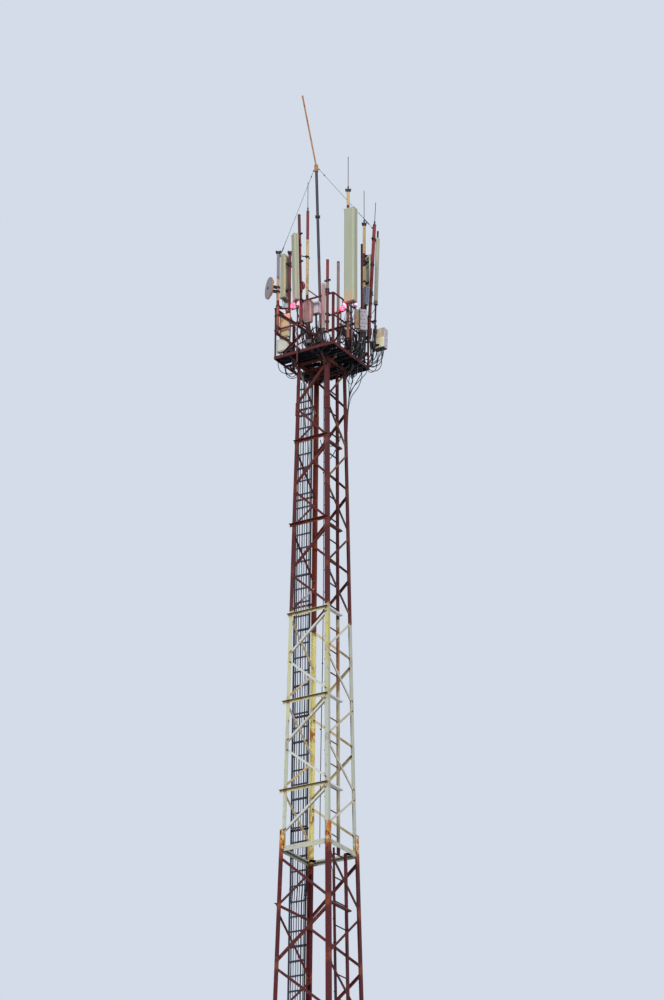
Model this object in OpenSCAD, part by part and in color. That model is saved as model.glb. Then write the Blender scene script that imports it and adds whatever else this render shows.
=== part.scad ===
// Square lattice cell tower with a head platform, antennas, radio units,
// a climbing ladder and a cable rack, in millimetres.
// The tower's axis is Z and its anchor frame lies on Z = 0. The front side is -Y.
// Corners and sides are numbered by quarter turns: corner 0 is (+X, +Y), corner 1 is
// (-X, +Y), corner 2 is (-X, -Y) and corner 3 is (+X, -Y). Side 0 is the front, side 1
// the right (+X), side 2 the back and side 3 the left.

/* [Tower] */
// Height of the platform's underside above the ground
platform_z = 30000; // [20000:100:33000]
// Height of the joint between the wide and the narrow section
joint_z = 19350; // [10000:50:25000]
// Width over the legs at the ground
base_w = 1950; // [1400:10:2600]
// Width over the legs at the joint, lower section
joint_low_w = 1140; // [900:10:1400]
// Width over the legs at the joint, upper section
joint_up_w = 1070; // [800:10:1130]
// Width over the legs under the platform
head_w = 735; // [600:5:1000]

/* [Legs] */
// Flange width of a lower leg
low_leg_b = 90; // [70:5:200]
// Flange thickness of a lower leg
low_leg_t = 12; // [8:1:20]
// Flange width of an upper leg
up_leg_b = 80; // [60:5:150]
// Flange thickness of an upper leg
up_leg_t = 10; // [6:1:16]
// Height by which the lower legs lap over the upper legs
lap_h = 400; // [200:10:700]
// Thickness of a cover angle at a leg splice
cover_t = 8; // [5:1:14]
// Length of a cover angle in the lower section
low_cover_h = 500; // [300:10:900]
// Length of a cover angle in the upper section
up_cover_h = 300; // [200:10:500]

/* [Lacing] */
// Height of a half bay in the upper section
up_half_bay = 935; // [600:5:1300]
// Height of the lowest lacing node above the joint
up_first_node = 290; // [150:10:800]
// Flange width of an upper lacing bar
up_bar_b = 45; // [35:5:80]
// Number of half bays in the lower section
low_half_bays = 17; // [9:2:31]
// Height of the lowest lacing node above the ground
low_first_node = 300; // [200:10:800]
// Distance of the top lacing node of the lower section below the joint
low_top_gap = 100; // [80:10:400]
// Flange width of a lower lacing bar
low_bar_b = 50; // [40:5:90]
// Thickness of a lacing bar
bar_t = 5; // [3:1:10]
// Distance between two bar ends at a node
node_gap = 190; // [140:10:320]
// Flange width of a cross bar
cross_b = 60; // [40:5:90]
// Length by which the longest cross bar passes the front left leg
cross_over = 85; // [0:5:150]

/* [Base] */
// Thickness of the anchor frame
frame_t = 25; // [15:1:50]
// Side of a corner pad of the anchor frame
pad_w = 420; // [300:10:600]
// Width of a bar between the corner pads
frame_bar_w = 160; // [80:10:260]
// Side of a foot plate
foot_w = 340; // [260:10:480]
// Thickness of a foot plate
foot_t = 22; // [15:1:40]
// Spacing of the anchor holes
anchor_pitch = 250; // [180:5:360]
// Diameter of an anchor hole
anchor_hole_d = 34; // [20:1:44]
// Height of a foot gusset
gusset_h = 220; // [120:10:400]
// Thickness of a foot gusset
gusset_t = 10; // [6:1:20]

/* [Joint frame] */
// Flange width of a joint frame angle
joint_b = 55; // [40:5:110]
// Thickness of a joint frame angle
joint_t = 7; // [5:1:12]

/* [Ladder and rack] */
// Spacing of the ladder's rungs
rung_pitch = 300; // [250:10:350]
// Width of the ladder over its rails
ladder_w = 375; // [300:5:500]
// Gap between the leg and the ladder
ladder_gap = 65; // [40:5:300]
// Depth of a ladder rail
rail_b = 60; // [45:5:90]
// Thickness of a ladder rail
rail_t = 8; // [5:1:14]
// Diameter of a ladder rung
rung_d = 20; // [16:1:30]
// Diameter of a thick feeder cable
feeder_d = 28; // [16:1:34]
// Height of a ladder tie
tie_h = 50; // [30:5:80]
// Spacing of the ladder ties in the upper section
tie_pitch = 2380; // [1500:20:3000]
// Spacing of the rungs of the cable rack
rack_pitch = 485; // [300:5:800]
// Width of the cable rack
rack_w = 476; // [300:2:600]
// Distance of the cable rack inside the side's outer face
rack_in = 95; // [90:5:200]
// Width of the rack's stout rail
stout_b = 60; // [40:2:90]
// Depth of the rack's rails
rack_d = 45; // [30:5:70]

/* [Platform] */
// Side of the platform
deck_w = 1450; // [1200:10:2400]
// Height of the platform's edge plate
edge_b = 65; // [50:5:100]
// Thickness of the platform's edge plate
edge_t = 6; // [4:1:10]
// Depth of a platform bearer
bearer_b = 60; // [40:5:100]
// Number of planks in the deck
planks = 8; // [6:1:14]
// Gap between two planks
plank_gap = 8; // [4:1:20]
// Depth of a plank
plank_d = 35; // [25:1:50]
// Width of the climbing hatch between the edge and the bearer
hatch_n = 3; // [2:1:4]
// Height of the cage above the platform's underside
cage_h = 1200; // [1000:10:1400]
// Height of the middle rail above the platform's underside
mid_rail_h = 670; // [400:10:800]
// Flange width of a cage rail
cage_rail_b = 45; // [30:5:70]
// Flange width of a cage post
post_b = 45; // [30:5:80]
// Thickness of a cage post
post_t = 5; // [3:1:8]

/* [Head] */
// Length of the mast above the platform's underside
mast_len = 4760; // [2500:50:5500]
// Diameter of the mast
mast_d = 60; // [42:1:90]
// Lean of the mast to the left
mast_lean = 2; // [0:0.1:4]
// Length of the mast's tip rod
tip_len = 1900; // [600:50:2500]
// Diameter of the mast's tip rod
tip_d = 34; // [16:1:60]
// Lean of the tip rod to the left
tip_lean = 11; // [0:0.5:15]
// Diameter of an antenna pipe
pipe_d = 60; // [42:1:90]
// Distance of the antenna pipes outside the platform edge
pipe_out = 75; // [65:5:200]
// Height of the large antenna
big_ant_h = 2200; // [1400:50:2700]
// Width of the large antenna
big_ant_w = 250; // [180:10:360]
// Depth of the large antenna
big_ant_d = 150; // [90:5:220]
// Diameter of the dish
dish_d = 450; // [300:10:900]
// Depth of the dish's shroud
dish_t = 62; // [50:1:300]
// Diameter of a jumper cable
jumper_d = 16; // [8:1:28]

/* [Hidden] */

// Clearance between two seated pieces
seat = 0.3;
lift = frame_t + seat + foot_t;
low_lean = atan((base_w - joint_low_w) / 2 / joint_z);
up_lean = atan((joint_up_w - head_w) / 2 / (platform_z - joint_z));
bearer_drop = 35;
leg_top = platform_z - bearer_drop - seat;
low_half_bay = (joint_z / cos(low_lean) - low_top_gap - low_first_node) / low_half_bays;
up_bars = floor((platform_z - joint_z - up_first_node - 130 + node_gap / 2) / up_half_bay);
top_odd = up_bars - 1 - (up_bars % 2);
function lo(z) = base_w / 2 - (base_w - joint_low_w) / 2 * z / joint_z;
function up(z) = joint_up_w / 2 - (joint_up_w - head_w) / 2 * (z - joint_z) / (platform_z - joint_z);
function low_node(n) = low_first_node + n * low_half_bay;
function up_node(n) = up_first_node + n * up_half_bay;
head_cover_w = up_node(top_odd) + 695;

// Cage and platform planes
rail_in = deck_w / 2 - edge_t;
pipe_y = -(edge_t + pipe_out);
deck_bot = bearer_b - bearer_drop + seat;
deck_top = deck_bot + plank_d;

// An angle section with its heel at the origin and its flanges along -X and -Y
module angle2d(b, t) {
  polygon([[0, 0], [-b, 0], [-b, -t], [-t, -t], [-t, -b], [0, -b]]);
}

// A round bar from p to q
module round_bar(p, q, d) {
  v = q - p;
  translate(p) rotate([0, acos(v[2] / norm(v)), atan2(v[1], v[0])]) cylinder(h = norm(v), d = d);
}

// A stiff cable along a list of points
module cable(pts, d) {
  for (i = [0:len(pts) - 2]) round_bar(pts[i], pts[i + 1], d);
  if (len(pts) > 2) for (i = [1:len(pts) - 2]) translate(pts[i]) sphere(d = d + 1);
}

// Turns the children to the corner k, on the leaning heel line of a leg
module on_corner(k, z0, h0, h1, rise) {
  lean = atan(sqrt(2) * (h0 - h1) / rise);
  rotate([0, 0, 90 * k]) translate([h0, h0, z0]) rotate(a = lean, v = [1, -1, 0]) children();
}

module on_low_corner(k) {
  on_corner(k, 0, base_w / 2, joint_low_w / 2, joint_z) children();
}

module on_up_corner(k) {
  on_corner(k, joint_z, joint_up_w / 2, head_w / 2, platform_z - joint_z) children();
}

// Turns the children to the leaning side k: X runs along the side and Y inwards
module on_side(k, z0, h0, lean) {
  rotate([0, 0, 90 * k]) translate([0, -h0, z0]) rotate([-lean, 0, 0]) children();
}

module on_low_side(k) { on_side(k, 0, base_w / 2, low_lean) children(); }
module on_up_side(k) { on_side(k, joint_z, joint_up_w / 2, up_lean) children(); }

// The space between two heights
module slab(z0, z1) {
  translate([-base_w, -base_w, z0]) cube([2 * base_w, 2 * base_w, z1 - z0]);
}

module lower_leg(k) {
  color([0.45, 0.17, 0.16]) intersection() {
    on_low_corner(k) translate([0, 0, -100]) linear_extrude(joint_z + lap_h + 300) angle2d(low_leg_b, low_leg_t);
    slab(lift + seat, joint_z + lap_h);
  }
}

module upper_leg(k) {
  color([0.70, 0.71, 0.65]) intersection() {
    on_up_corner(k) translate([0, 0, -joint_b - 100]) linear_extrude(platform_z - joint_z + joint_b + 200)
      angle2d(up_leg_b, up_leg_t);
    slab(joint_z - joint_b, leg_top);
  }
}

module lower_leg_0() { lower_leg(0); }
module lower_leg_1() { lower_leg(1); }
module lower_leg_2() { lower_leg(2); }
module lower_leg_3() { lower_leg(3); }
module upper_leg_0() { upper_leg(0); }
module upper_leg_1() { upper_leg(1); }
module upper_leg_2() { upper_leg(2); }
module upper_leg_3() { upper_leg(3); }

// An angle bar in a side's own plane, its flat flange at depth y0
module side_bar(x1, w1, x2, w2, b, t, y0) {
  translate([x1, y0, w1]) rotate([0, atan2(x2 - x1, w2 - w1), 0])
    linear_extrude(norm([x2 - x1, w2 - w1]))
      polygon([[-b / 2, 0], [b / 2, 0], [b / 2, b], [b / 2 - t, b], [b / 2 - t, t], [-b / 2, t]]);
}

// One zigzag: bar n runs from node n on one leg to node n + 1 on the other
module zigzag(first, pitch, count, h0, lean, leg_b, leg_t, b, left_first) {
  for (n = [0:count - 1]) {
    s = (n % 2 == 0) == left_first ? -1 : 1;
    w1 = first + n * pitch + node_gap / 2;
    w2 = first + (n + 1) * pitch - node_gap / 2;
    side_bar(s * (h0 - w1 * sin(lean) - leg_b / 2), w1, -s * (h0 - w2 * sin(lean) - leg_b / 2), w2,
      b, bar_t, leg_t + seat);
  }
}

module lower_lacing(k) {
  color([0.45, 0.17, 0.16]) on_low_side(k)
    zigzag(low_first_node, low_half_bay, low_half_bays, base_w / 2, low_lean, low_leg_b, low_leg_t, low_bar_b, false);
}

module upper_lacing(k) {
  color([0.70, 0.71, 0.65]) on_up_side(k)
    zigzag(up_first_node, up_half_bay, up_bars, joint_up_w / 2, up_lean, up_leg_b, up_leg_t, up_bar_b, true);
}

module lower_lacing_front() { lower_lacing(0); }
module lower_lacing_right() { lower_lacing(1); }
module lower_lacing_back() { lower_lacing(2); }
module lower_lacing_left() { lower_lacing(3); }
module upper_lacing_front() { upper_lacing(0); }
module upper_lacing_right() { upper_lacing(1); }
module upper_lacing_back() { upper_lacing(2); }
module upper_lacing_left() { upper_lacing(3); }

// A horizontal angle against the outside of a side's flanges
module cross_angle(w, hw, over_left, over_right) {
  translate([-hw - over_left, -seat, w]) rotate([0, 90, 0]) rotate([0, 0, 180])
    linear_extrude(2 * hw + over_left + over_right)
      polygon([[0, 0], [cross_b, 0], [cross_b, bar_t], [bar_t, bar_t], [bar_t, cross_b], [0, cross_b]]);
}

// Height of the lower and the top cross bars above their nodes, and the shares of the full
// overhang, from the joint up
cross_rise = 115;
cross_share = [1, 0.95, 0.4, 0.65, 0.15];

// Cross bars on the front of the upper section and the left of the lower section
module cross_bars() {
  color([0.55, 0.30, 0.24]) {
    on_up_side(0) for (n = [1:2:up_bars - 1]) let (w = up_node(n) + (n > up_bars / 2 ? cross_rise : 0))
      translate([0, 0, w]) mirror([0, 0, 1])
        cross_angle(0, joint_up_w / 2 - w * sin(up_lean), cross_over * cross_share[(n - 1) / 2 % 5], 0);
    on_low_side(3) for (n = [2:2:low_half_bays - 1]) let (w = low_node(n) + cross_rise)
      translate([0, 0, w]) mirror([0, 0, 1])
        cross_angle(0, base_w / 2 - w * sin(low_lean), 0, cross_over / 4);
  }
}

// One closed ring of angles, its upright flange outside and its flat flange at the level z = 0
module ring_frame(h_out) {
  difference() {
    translate([-h_out, -h_out, 0]) cube([2 * h_out, 2 * h_out, joint_b]);
    translate([-h_out + joint_t, -h_out + joint_t, joint_t]) cube([2 * (h_out - joint_t), 2 * (h_out - joint_t), joint_b]);
    translate([-h_out + joint_b, -h_out + joint_b, -1]) cube([2 * (h_out - joint_b), 2 * (h_out - joint_b), joint_b]);
  }
}

// The joint frame: two rings back to back, one outside the upper legs, one inside the lower
module joint_frame() {
  hu = joint_up_w / 2 + seat + joint_t;
  hl = lo(joint_z) - low_leg_t - seat;
  notch = up_leg_b + 10;
  color([0.72, 0.72, 0.62]) difference() {
    union() {
      translate([0, 0, joint_z + seat / 2]) ring_frame(hu);
      translate([0, 0, joint_z - seat / 2]) mirror([0, 0, 1]) ring_frame(hl);
    }
    for (k = [0:3]) rotate([0, 0, 90 * k])
      translate([joint_up_w / 2 - notch, joint_up_w / 2 - notch, joint_z - joint_b - 1])
        cube([notch + seat, notch + seat, 2 * joint_b + 2]);
    for (k = [0:3]) rotate([0, 0, 90 * k])
      translate([joint_up_w / 2 - notch, joint_up_w / 2 - notch, joint_z - joint_b - 1])
        cube([notch + 2, notch + 2, joint_b + 1]);
  }
}

// Wedge packers that fill the space between the lapped legs above the joint frame
module lap_packers() {
  color([0.60, 0.40, 0.25]) for (k = [0:3]) intersection() {
    difference() {
      on_low_corner(k) translate([0, 0, joint_z - 500]) linear_extrude(lap_h + 1200)
        translate([-low_leg_t - seat, -low_leg_t - seat]) angle2d(low_leg_b - 30, 45);
      on_up_corner(k) translate([-up_leg_b * 2 + seat, -up_leg_b * 2 + seat, -500]) cube([up_leg_b * 2, up_leg_b * 2, lap_h + 1200]);
    }
    slab(joint_z + joint_b + 2, joint_z + lap_h);
  }
}

// Cover angles round the leg splices
module leg_covers() {
  color([0.50, 0.24, 0.18]) {
    for (k = [0:3], n = [5, 11]) on_low_corner(k)
      translate([cover_t + seat, cover_t + seat, low_node(n) - low_cover_h / 2]) linear_extrude(low_cover_h)
        angle2d(low_leg_b + cover_t, cover_t);
    for (k = [0:3]) on_up_corner(k)
      translate([cover_t + seat, cover_t + seat, head_cover_w]) linear_extrude(up_cover_h)
        angle2d(up_leg_b + cover_t, cover_t);
  }
}

function pad_c() = base_w / 2 - low_leg_b / 2 + 10;

module anchor_points() {
  for (k = [0:3]) rotate([0, 0, 90 * k]) translate([pad_c(), pad_c(), 0])
    for (x = [-1, 1], y = [-1, 1]) translate([x * anchor_pitch / 2, y * anchor_pitch / 2, 0]) children();
}

module anchor_frame() {
  color([0.50, 0.50, 0.49]) difference() {
    for (k = [0:3]) rotate([0, 0, 90 * k]) {
      translate([pad_c() - pad_w / 2, pad_c() - pad_w / 2, 0]) cube([pad_w, pad_w, frame_t]);
      translate([-pad_c(), -pad_c() - frame_bar_w / 2, 0]) cube([2 * pad_c(), frame_bar_w, frame_t]);
    }
    anchor_points() translate([0, 0, -1]) cylinder(h = frame_t + 2, d = anchor_hole_d);
  }
}

module foot_plates() {
  color([0.45, 0.17, 0.16]) difference() {
    for (k = [0:3]) rotate([0, 0, 90 * k]) {
      translate([pad_c() - foot_w / 2, pad_c() - foot_w / 2, frame_t + seat]) cube([foot_w, foot_w, foot_t]);
      foot_gusset();
      mirror([1, -1, 0]) foot_gusset();
    }
    anchor_points() translate([0, 0, frame_t]) cylinder(h = foot_t + 2, d = anchor_hole_d);
  }
}

// A triangular plate outside a leg flange, standing on the foot plate
module foot_gusset() {
  reach = pad_c() + foot_w / 2 - 8;
  y0 = lo(lift) + seat;
  translate([base_w / 2 - low_leg_b * 0.5, 0, lift - 1]) rotate([90, 0, 90]) linear_extrude(gusset_t)
    polygon([[y0, 0], [reach, 0], [reach, 16], [y0 + 18, gusset_h], [lo(lift + gusset_h) + seat, gusset_h]]);
}

// Heights of the rungs, and of the break between the two ladders
first_rung = 330;
low_rungs = floor((joint_z - 500 - first_rung) / rung_pitch);
ladder_break = first_rung + (low_rungs + 0.5) * rung_pitch;
ladder_top = platform_z - 150;
rung_y = -rail_b + 15;

// Puts the children beside the leg of corner 1, the ladder lying on the -X side
module beside_ladder_leg(low) {
  if (low) on_low_corner(1) rotate([0, 0, -90]) children();
  else on_up_corner(1) rotate([0, 0, -90]) children();
}

module ladder_run(w0, w1, r0, count) {
  for (s = [0, 1]) translate([-ladder_gap - ladder_w + s * (ladder_w - rail_t), -rail_b, w0]) cube([rail_t, rail_b, w1 - w0]);
  for (n = [0:count - 1]) translate([-ladder_gap - ladder_w + rail_t / 2, rung_y, r0 + n * rung_pitch])
    rotate([0, 90, 0]) cylinder(h = ladder_w - rail_t, d = rung_d);
}

module ladder_lower() {
  color([0.16, 0.15, 0.22]) beside_ladder_leg(true)
    ladder_run(lift + gusset_h + 8, ladder_break - 6, first_rung, low_rungs + 1);
}

module ladder_upper() {
  r0 = ladder_break + rung_pitch / 2 - joint_z;
  color([0.16, 0.15, 0.22]) beside_ladder_leg(false)
    ladder_run(ladder_break + 6 - joint_z, ladder_top - joint_z, r0, floor((ladder_top - joint_z - r0 - 60) / rung_pitch) + 1);
}

// Flat bars from the leg's outer face to both ladder rails
module tie(w, b) {
  translate([-ladder_gap - ladder_w - 20, seat, w - tie_h / 2]) cube([ladder_gap + ladder_w + 20 + b * 0.8, 6, tie_h]);
}

module ladder_ties() {
  top_tie = head_cover_w + up_cover_h + 240;
  color([0.40, 0.24, 0.20]) {
    beside_ladder_leg(true) for (n = [2:2:low_half_bays - 1]) tie(low_node(n) - 400, low_leg_b);
    beside_ladder_leg(false) {
      for (w = [lap_h + 350:tie_pitch:top_tie - 1200]) tie(w, up_leg_b);
      tie(top_tie, up_leg_b);
    }
  }
}

// Feeder cables, held behind the ladder's rungs all the way up
feeders = 6;
function feeder_w(n) = n % 2 == 0 ? feeder_d : feeder_d * 0.6;
function feeder_x(n) = ladder_gap + ladder_w - rail_t - 38 - n * (ladder_w - 2 * rail_t - 76) / (feeders - 1);
function feeder_in(n) = -rung_y - rung_d / 2 - seat - feeder_w(n) / 2;
function low_feeder(n, z) = [-lo(z) - feeder_x(n), lo(z) - feeder_in(n), z];
function up_feeder(n, z) = [-up(z) - feeder_x(n), up(z) - feeder_in(n), z];

module feeder_cables() {
  bend = rung_pitch / 2 - rung_d - feeder_d;
  color([0.12, 0.12, 0.15]) for (n = [0:feeders - 1])
    cable([low_feeder(n, 500), low_feeder(n, ladder_break - bend), up_feeder(n, ladder_break + bend),
      up_feeder(n, platform_z - bearer_drop - 60)], feeder_w(n));
}

// The cable rack inside the right side: a thin rail, a stout angle and flat rungs from the height r0 up
module rack_run(w0, w1, r0) {
  translate([0, 0, w0]) cube([8, rack_d, w1 - w0]);
  translate([rack_w - stout_b, 0, w0]) linear_extrude(w1 - w0)
    polygon([[0, 0], [stout_b, 0], [stout_b, 6], [6, 6], [6, rack_d], [0, rack_d]]);
  for (n = [0:floor((w1 - r0 - 60) / rack_pitch)])
    translate([4, 2, r0 + n * rack_pitch]) cube([rack_w - stout_b, 38, 7]);
}

// Distance of the rack's thin rail from the front right leg's heel in the upper section
rack_shift = 120;
rack_low_x = -207;
rack_drop = 120;

module cable_rack() {
  color([0.20, 0.18, 0.24]) {
    on_low_side(1) translate([rack_low_x, rack_in, 0]) rack_run(400, joint_z - 30, 771);
    on_up_side(1) translate([-joint_up_w / 2 + rack_shift, rack_in, 0]) rotate([0, up_lean, 0])
      rack_run(-rack_drop, platform_z - joint_z - 260, 240);
  }
}

// Short angles from the front right leg to the stout rail, that carry the cable rack
module rack_tie(w, hw, leg_b, leg_t, x1) {
  y0 = leg_t + seat;
  half = hw - leg_b + 60;
  translate([-half, y0, w - 20]) rotate([90, 0, 90]) linear_extrude(half + x1)
    polygon([[0, 0], [rack_in - y0 - seat, 0], [rack_in - y0 - seat, 5], [5, 5], [5, 30], [0, 30]]);
}

module rack_ties() {
  color([0.40, 0.24, 0.20]) {
    on_low_side(1) for (n = [2:2:low_half_bays - 1])
      rack_tie(low_node(n), base_w / 2 - low_node(n) * sin(low_lean), low_leg_b, low_leg_t, rack_low_x + rack_w - 8);
    on_up_side(1) for (n = [1:2:up_bars - 1])
      rack_tie(up_node(n), joint_up_w / 2 - up_node(n) * sin(up_lean), up_leg_b, up_leg_t,
        -joint_up_w / 2 + rack_shift + rack_w - 8 + up_node(n) * tan(up_lean));
  }
}

// A single cable clipped along the rack's thin rail
module riser_cable() {
  depth = rack_in + rack_d + seat + jumper_d / 2 + 0.5;
  x0 = rack_low_x + 4;
  x1 = -joint_up_w / 2 + rack_shift + 4;
  rise = platform_z - joint_z;
  top = rise - 200;
  color([0.12, 0.12, 0.15]) cable([
    [lo(500) - depth, x0, 500], [lo(joint_z - 500) - depth, x0, joint_z - 500],
    [up(joint_z - 15) - depth, x1, joint_z - 15],
    [up(joint_z + top) - depth, x1 + top * tan(up_lean), joint_z + top]], jumper_d);
}

// Angles between the leg tops, with the channel that carries the mast
module top_frame() {
  z0 = platform_z - bearer_drop - 75;
  h = up(z0 + 60) - up_leg_t - seat;
  color([0.55, 0.22, 0.16]) {
    for (k = [0:3]) rotate([0, 0, 90 * k]) translate([-h + 6, -h, z0]) rotate([90, 0, 90])
      linear_extrude(2 * h - 12) polygon([[0, 0], [6, 0], [6, 54], [50, 54], [50, 60], [0, 60]]);
    translate([-h + 20, -55, z0 + 20]) difference() {
      cube([2 * h - 40, 110, 40]);
      translate([-1, 6, -1]) cube([2 * h, 98, 35]);
    }
  }
}

module platform_bearers() {
  c = head_w / 2 - 30;
  len = 2 * rail_in - 2 * seat;
  color([0.38, 0.18, 0.17]) for (k = [0, 1], s = [-1, 1]) rotate([0, 0, 90 * k]) scale([1, 1, 1])
    translate([-len / 2, s * c, platform_z - bearer_drop]) rotate([90, 0, 90]) linear_extrude(len)
      polygon([[-s * 25, 0], [s * 25, 0], [s * 25, 6], [-s * 19, 6], [-s * 19, bearer_b], [-s * 25, bearer_b]]);
}

module platform_edge() {
  color([0.45, 0.19, 0.18]) difference() {
    translate([-deck_w / 2, -deck_w / 2, platform_z]) cube([deck_w, deck_w, edge_b]);
    translate([-rail_in, -rail_in, platform_z - 1]) cube([2 * rail_in, 2 * rail_in, edge_b + 2]);
  }
}

function post_spots() = [[-1, -1], [1, -1], [1, 1], [-1, 1], [1, 0], [0, 1], [-1, 0]];

// One cage post, its flanges on the outside, standing just inside the edge plate
module post_at(p, grow) {
  c = rail_in - seat - post_b / 2;
  translate([p[0] * c, p[1] * c, 0]) square(post_b + 2 * grow, center = true);
}

plank_pitch = (2 * rail_in - 2 * seat) / planks;
hatch_first = floor(planks / 2) - 2;
hatch_x = -head_w / 2 + 30 - 28;

// The deck: slotted channel planks, cut short beside the climbing hatch
module plank(n) {
  w = plank_pitch - plank_gap;
  x0 = (n >= hatch_first && n < hatch_first + hatch_n) ? hatch_x : -rail_in + seat;
  x1 = rail_in - seat;
  y0 = -rail_in + seat + n * plank_pitch + plank_gap / 2;
  translate([x0, y0, 0]) difference() {
    cube([x1 - x0, w, plank_d]);
    translate([-1, 4, -1]) cube([x1 - x0 + 2, w - 8, plank_d - 3]);
    for (i = [0:floor((x1 - x0 - 120) / 150)]) translate([30 + i * 150, w / 2 - 42, plank_d - 6]) cube([90, 14, 10]);
    for (i = [0:floor((x1 - x0 - 200) / 150)]) translate([105 + i * 150, w / 2 + 28, plank_d - 6]) cube([90, 14, 10]);
  }
}

module deck_planks() {
  color([0.18, 0.17, 0.18]) translate([0, 0, platform_z + deck_bot]) difference() {
    for (n = [0:planks - 1]) plank(n);
    translate([0, 0, -5]) linear_extrude(plank_d + 10) for (p = post_spots()) post_at(p, seat);
    translate([mast_x(deck_top), 0, -5]) cylinder(h = plank_d + 10, d = mast_d + 24);
  }
}

module cage_posts() {
  color([0.30, 0.20, 0.20]) translate([0, 0, platform_z + 2]) linear_extrude(cage_h - 2 - 5 - seat)
    for (p = post_spots()) difference() {
      post_at(p, 0);
      translate([-(p[0] == 0 ? 1 : p[0]) * post_t, -(p[1] == 0 ? 1 : p[1]) * post_t]) post_at(p, 0);
    }
}

// Puts the children on the cage plane of side k: X along the side, Y inwards
module on_cage(k) {
  rotate([0, 0, 90 * k]) translate([0, -rail_in, platform_z]) children();
}

rail_over = 190;

// A middle rail from u0 to u1, and a top rail whose flange lies on the posts
module mid_rail(u0, u1) {
  translate([u0, -edge_t, mid_rail_h - cage_rail_b / 2]) cube([u1 - u0, edge_t, cage_rail_b]);
}

module top_rail(u0, u1) {
  translate([u0, 0, cage_h]) rotate([90, 0, 90]) linear_extrude(u1 - u0)
    polygon([[-edge_t, -cage_rail_b], [0, -cage_rail_b], [0, -5], [cage_rail_b - 10, -5], [cage_rail_b - 10, 0], [-edge_t, 0]]);
}

module cage_rails() {
  c = rail_in - 1;
  f = rail_in - cage_rail_b;
  color([0.45, 0.25, 0.22]) {
    on_cage(2) top_rail(-c, c);
    on_cage(0) {
      top_rail(-c, -c + 178);
      top_rail(-62, c);
    }
    for (k = [1, 3]) on_cage(k) {
      top_rail(-f, f);
      mid_rail(-c, k == 1 ? c + rail_over : c);
    }
    on_cage(1) translate([f + seat, -edge_t, cage_h - cage_rail_b]) cube([c + rail_over - f - seat, edge_t, cage_rail_b - 0]);
    on_cage(2) mid_rail(-c, c);
    on_cage(0) {
      mid_rail(-c, 0);
      mid_rail(rail_in - 180, c);
    }
  }
}

// Flat braces inside the posts of the front and the right side
module flat_brace(u0, z0, u1, z1, b) {
  translate([u0, post_t + 2 * seat, z0]) rotate([0, atan2(u1 - u0, z1 - z0), 0])
    translate([-b / 2, 0, 0]) cube([b, 5, norm([u1 - u0, z1 - z0])]);
}

module cage_braces() {
  e = rail_in - seat - 22;
  color([0.38, 0.22, 0.20]) {
    on_cage(0) flat_brace(-e, cage_h - 80, -e + 520, mid_rail_h + 30, 30);
    on_cage(0) flat_brace(-e, mid_rail_h - 50, -e + 330, deck_top + 300, 30);
    on_cage(1) flat_brace(-e, mid_rail_h + 30, -e + 560, cage_h - 80, 30);
    on_cage(3) flat_brace(-e, cage_h - 80, -e + 560, mid_rail_h + 30, 30);
  }
}

mast_foot = platform_z - bearer_drop - 75 + 60 + seat;
function mast_x(z) = -z * tan(mast_lean);

module mast() {
  color([0.18, 0.16, 0.18]) {
    translate([mast_x(mast_foot - platform_z), 0, mast_foot]) {
      translate([-60, -50, 0]) cube([120, 100, 10]);
      translate([0, 0, 4]) rotate([0, -mast_lean, 0]) cylinder(h = mast_len - mast_foot + platform_z, d = mast_d);
    }
  }
}

stay_ball = 36;
collar_z = mast_len - 60;
function mast_pt(z) = [mast_x(z), 0, platform_z + z];
function stay_eye(s) = mast_pt(collar_z) + [s * (mast_d / 2 + 36), 0, 0];

// The collar with the stay eyes, and the rod that carries on above the mast
module mast_tip() {
  top = mast_len + 4;
  color([0.62, 0.42, 0.25]) difference() {
    union() {
      translate(mast_pt(collar_z - 40)) rotate([0, -mast_lean, 0]) cylinder(h = 160, d = mast_d + 22);
      translate(mast_pt(mast_len + 30)) rotate([0, -tip_lean, 0]) cylinder(h = tip_len, d = tip_d);
      for (s = [-1, 1]) {
        translate(stay_eye(s)) sphere(d = stay_ball);
        round_bar(mast_pt(collar_z), stay_eye(s), 16);
      }
    }
    translate([mast_x(mast_foot - platform_z), 0, mast_foot + 4]) rotate([0, -mast_lean, 0])
      cylinder(h = mast_len - mast_foot + platform_z + seat, d = mast_d + 2 * seat);
  }
}

// Antenna pipes: side, place along it at the top rail, bottom, top, lean, diameter
function pipes() = [
  [0, -rail_in + 125, 560, 2450, 0, pipe_d],
  [3, 20, 560, 2870, 0, pipe_d],
  [0, -29, 560, 3200, -1.7, pipe_d],
  [3, -rail_in + 30, 560, 4200, 0, pipe_d],
  [0, rail_in - 100, 240, 1930, 0, pipe_d],
  [2, 94, 560, 2820, 0, pipe_d],
  [1, -278, 280, 3790, 0, pipe_d],
  [2, -rail_in + 170, 560, 3560, 0, pipe_d],
  [1, rail_in - 115, 560, 3480, 5.2, pipe_d + 10],
  [1, rail_in + 114, 440, 3380, 3.1, pipe_d - 20],
  [0, -108, -240, 1020, 0, pipe_d / 2],
  [1, 282, 560, 2750, 0, pipe_d - 15]
];

// The frame of a pipe: its axis is Z, with zero at the top rail
module on_pipe(p) {
  on_cage(p[0]) translate([p[1], pipe_y, cage_h]) rotate([0, p[4], 0]) children();
}

// World place of a point on a pipe's axis
function pipe_pt(p, z) = let (u = p[1] + (z - cage_h) * sin(p[4]), v = -rail_in + pipe_y, a = 90 * p[0])
  [u * cos(a) - v * sin(a), u * sin(a) + v * cos(a), platform_z + cage_h + (z - cage_h) * cos(p[4])];

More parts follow.
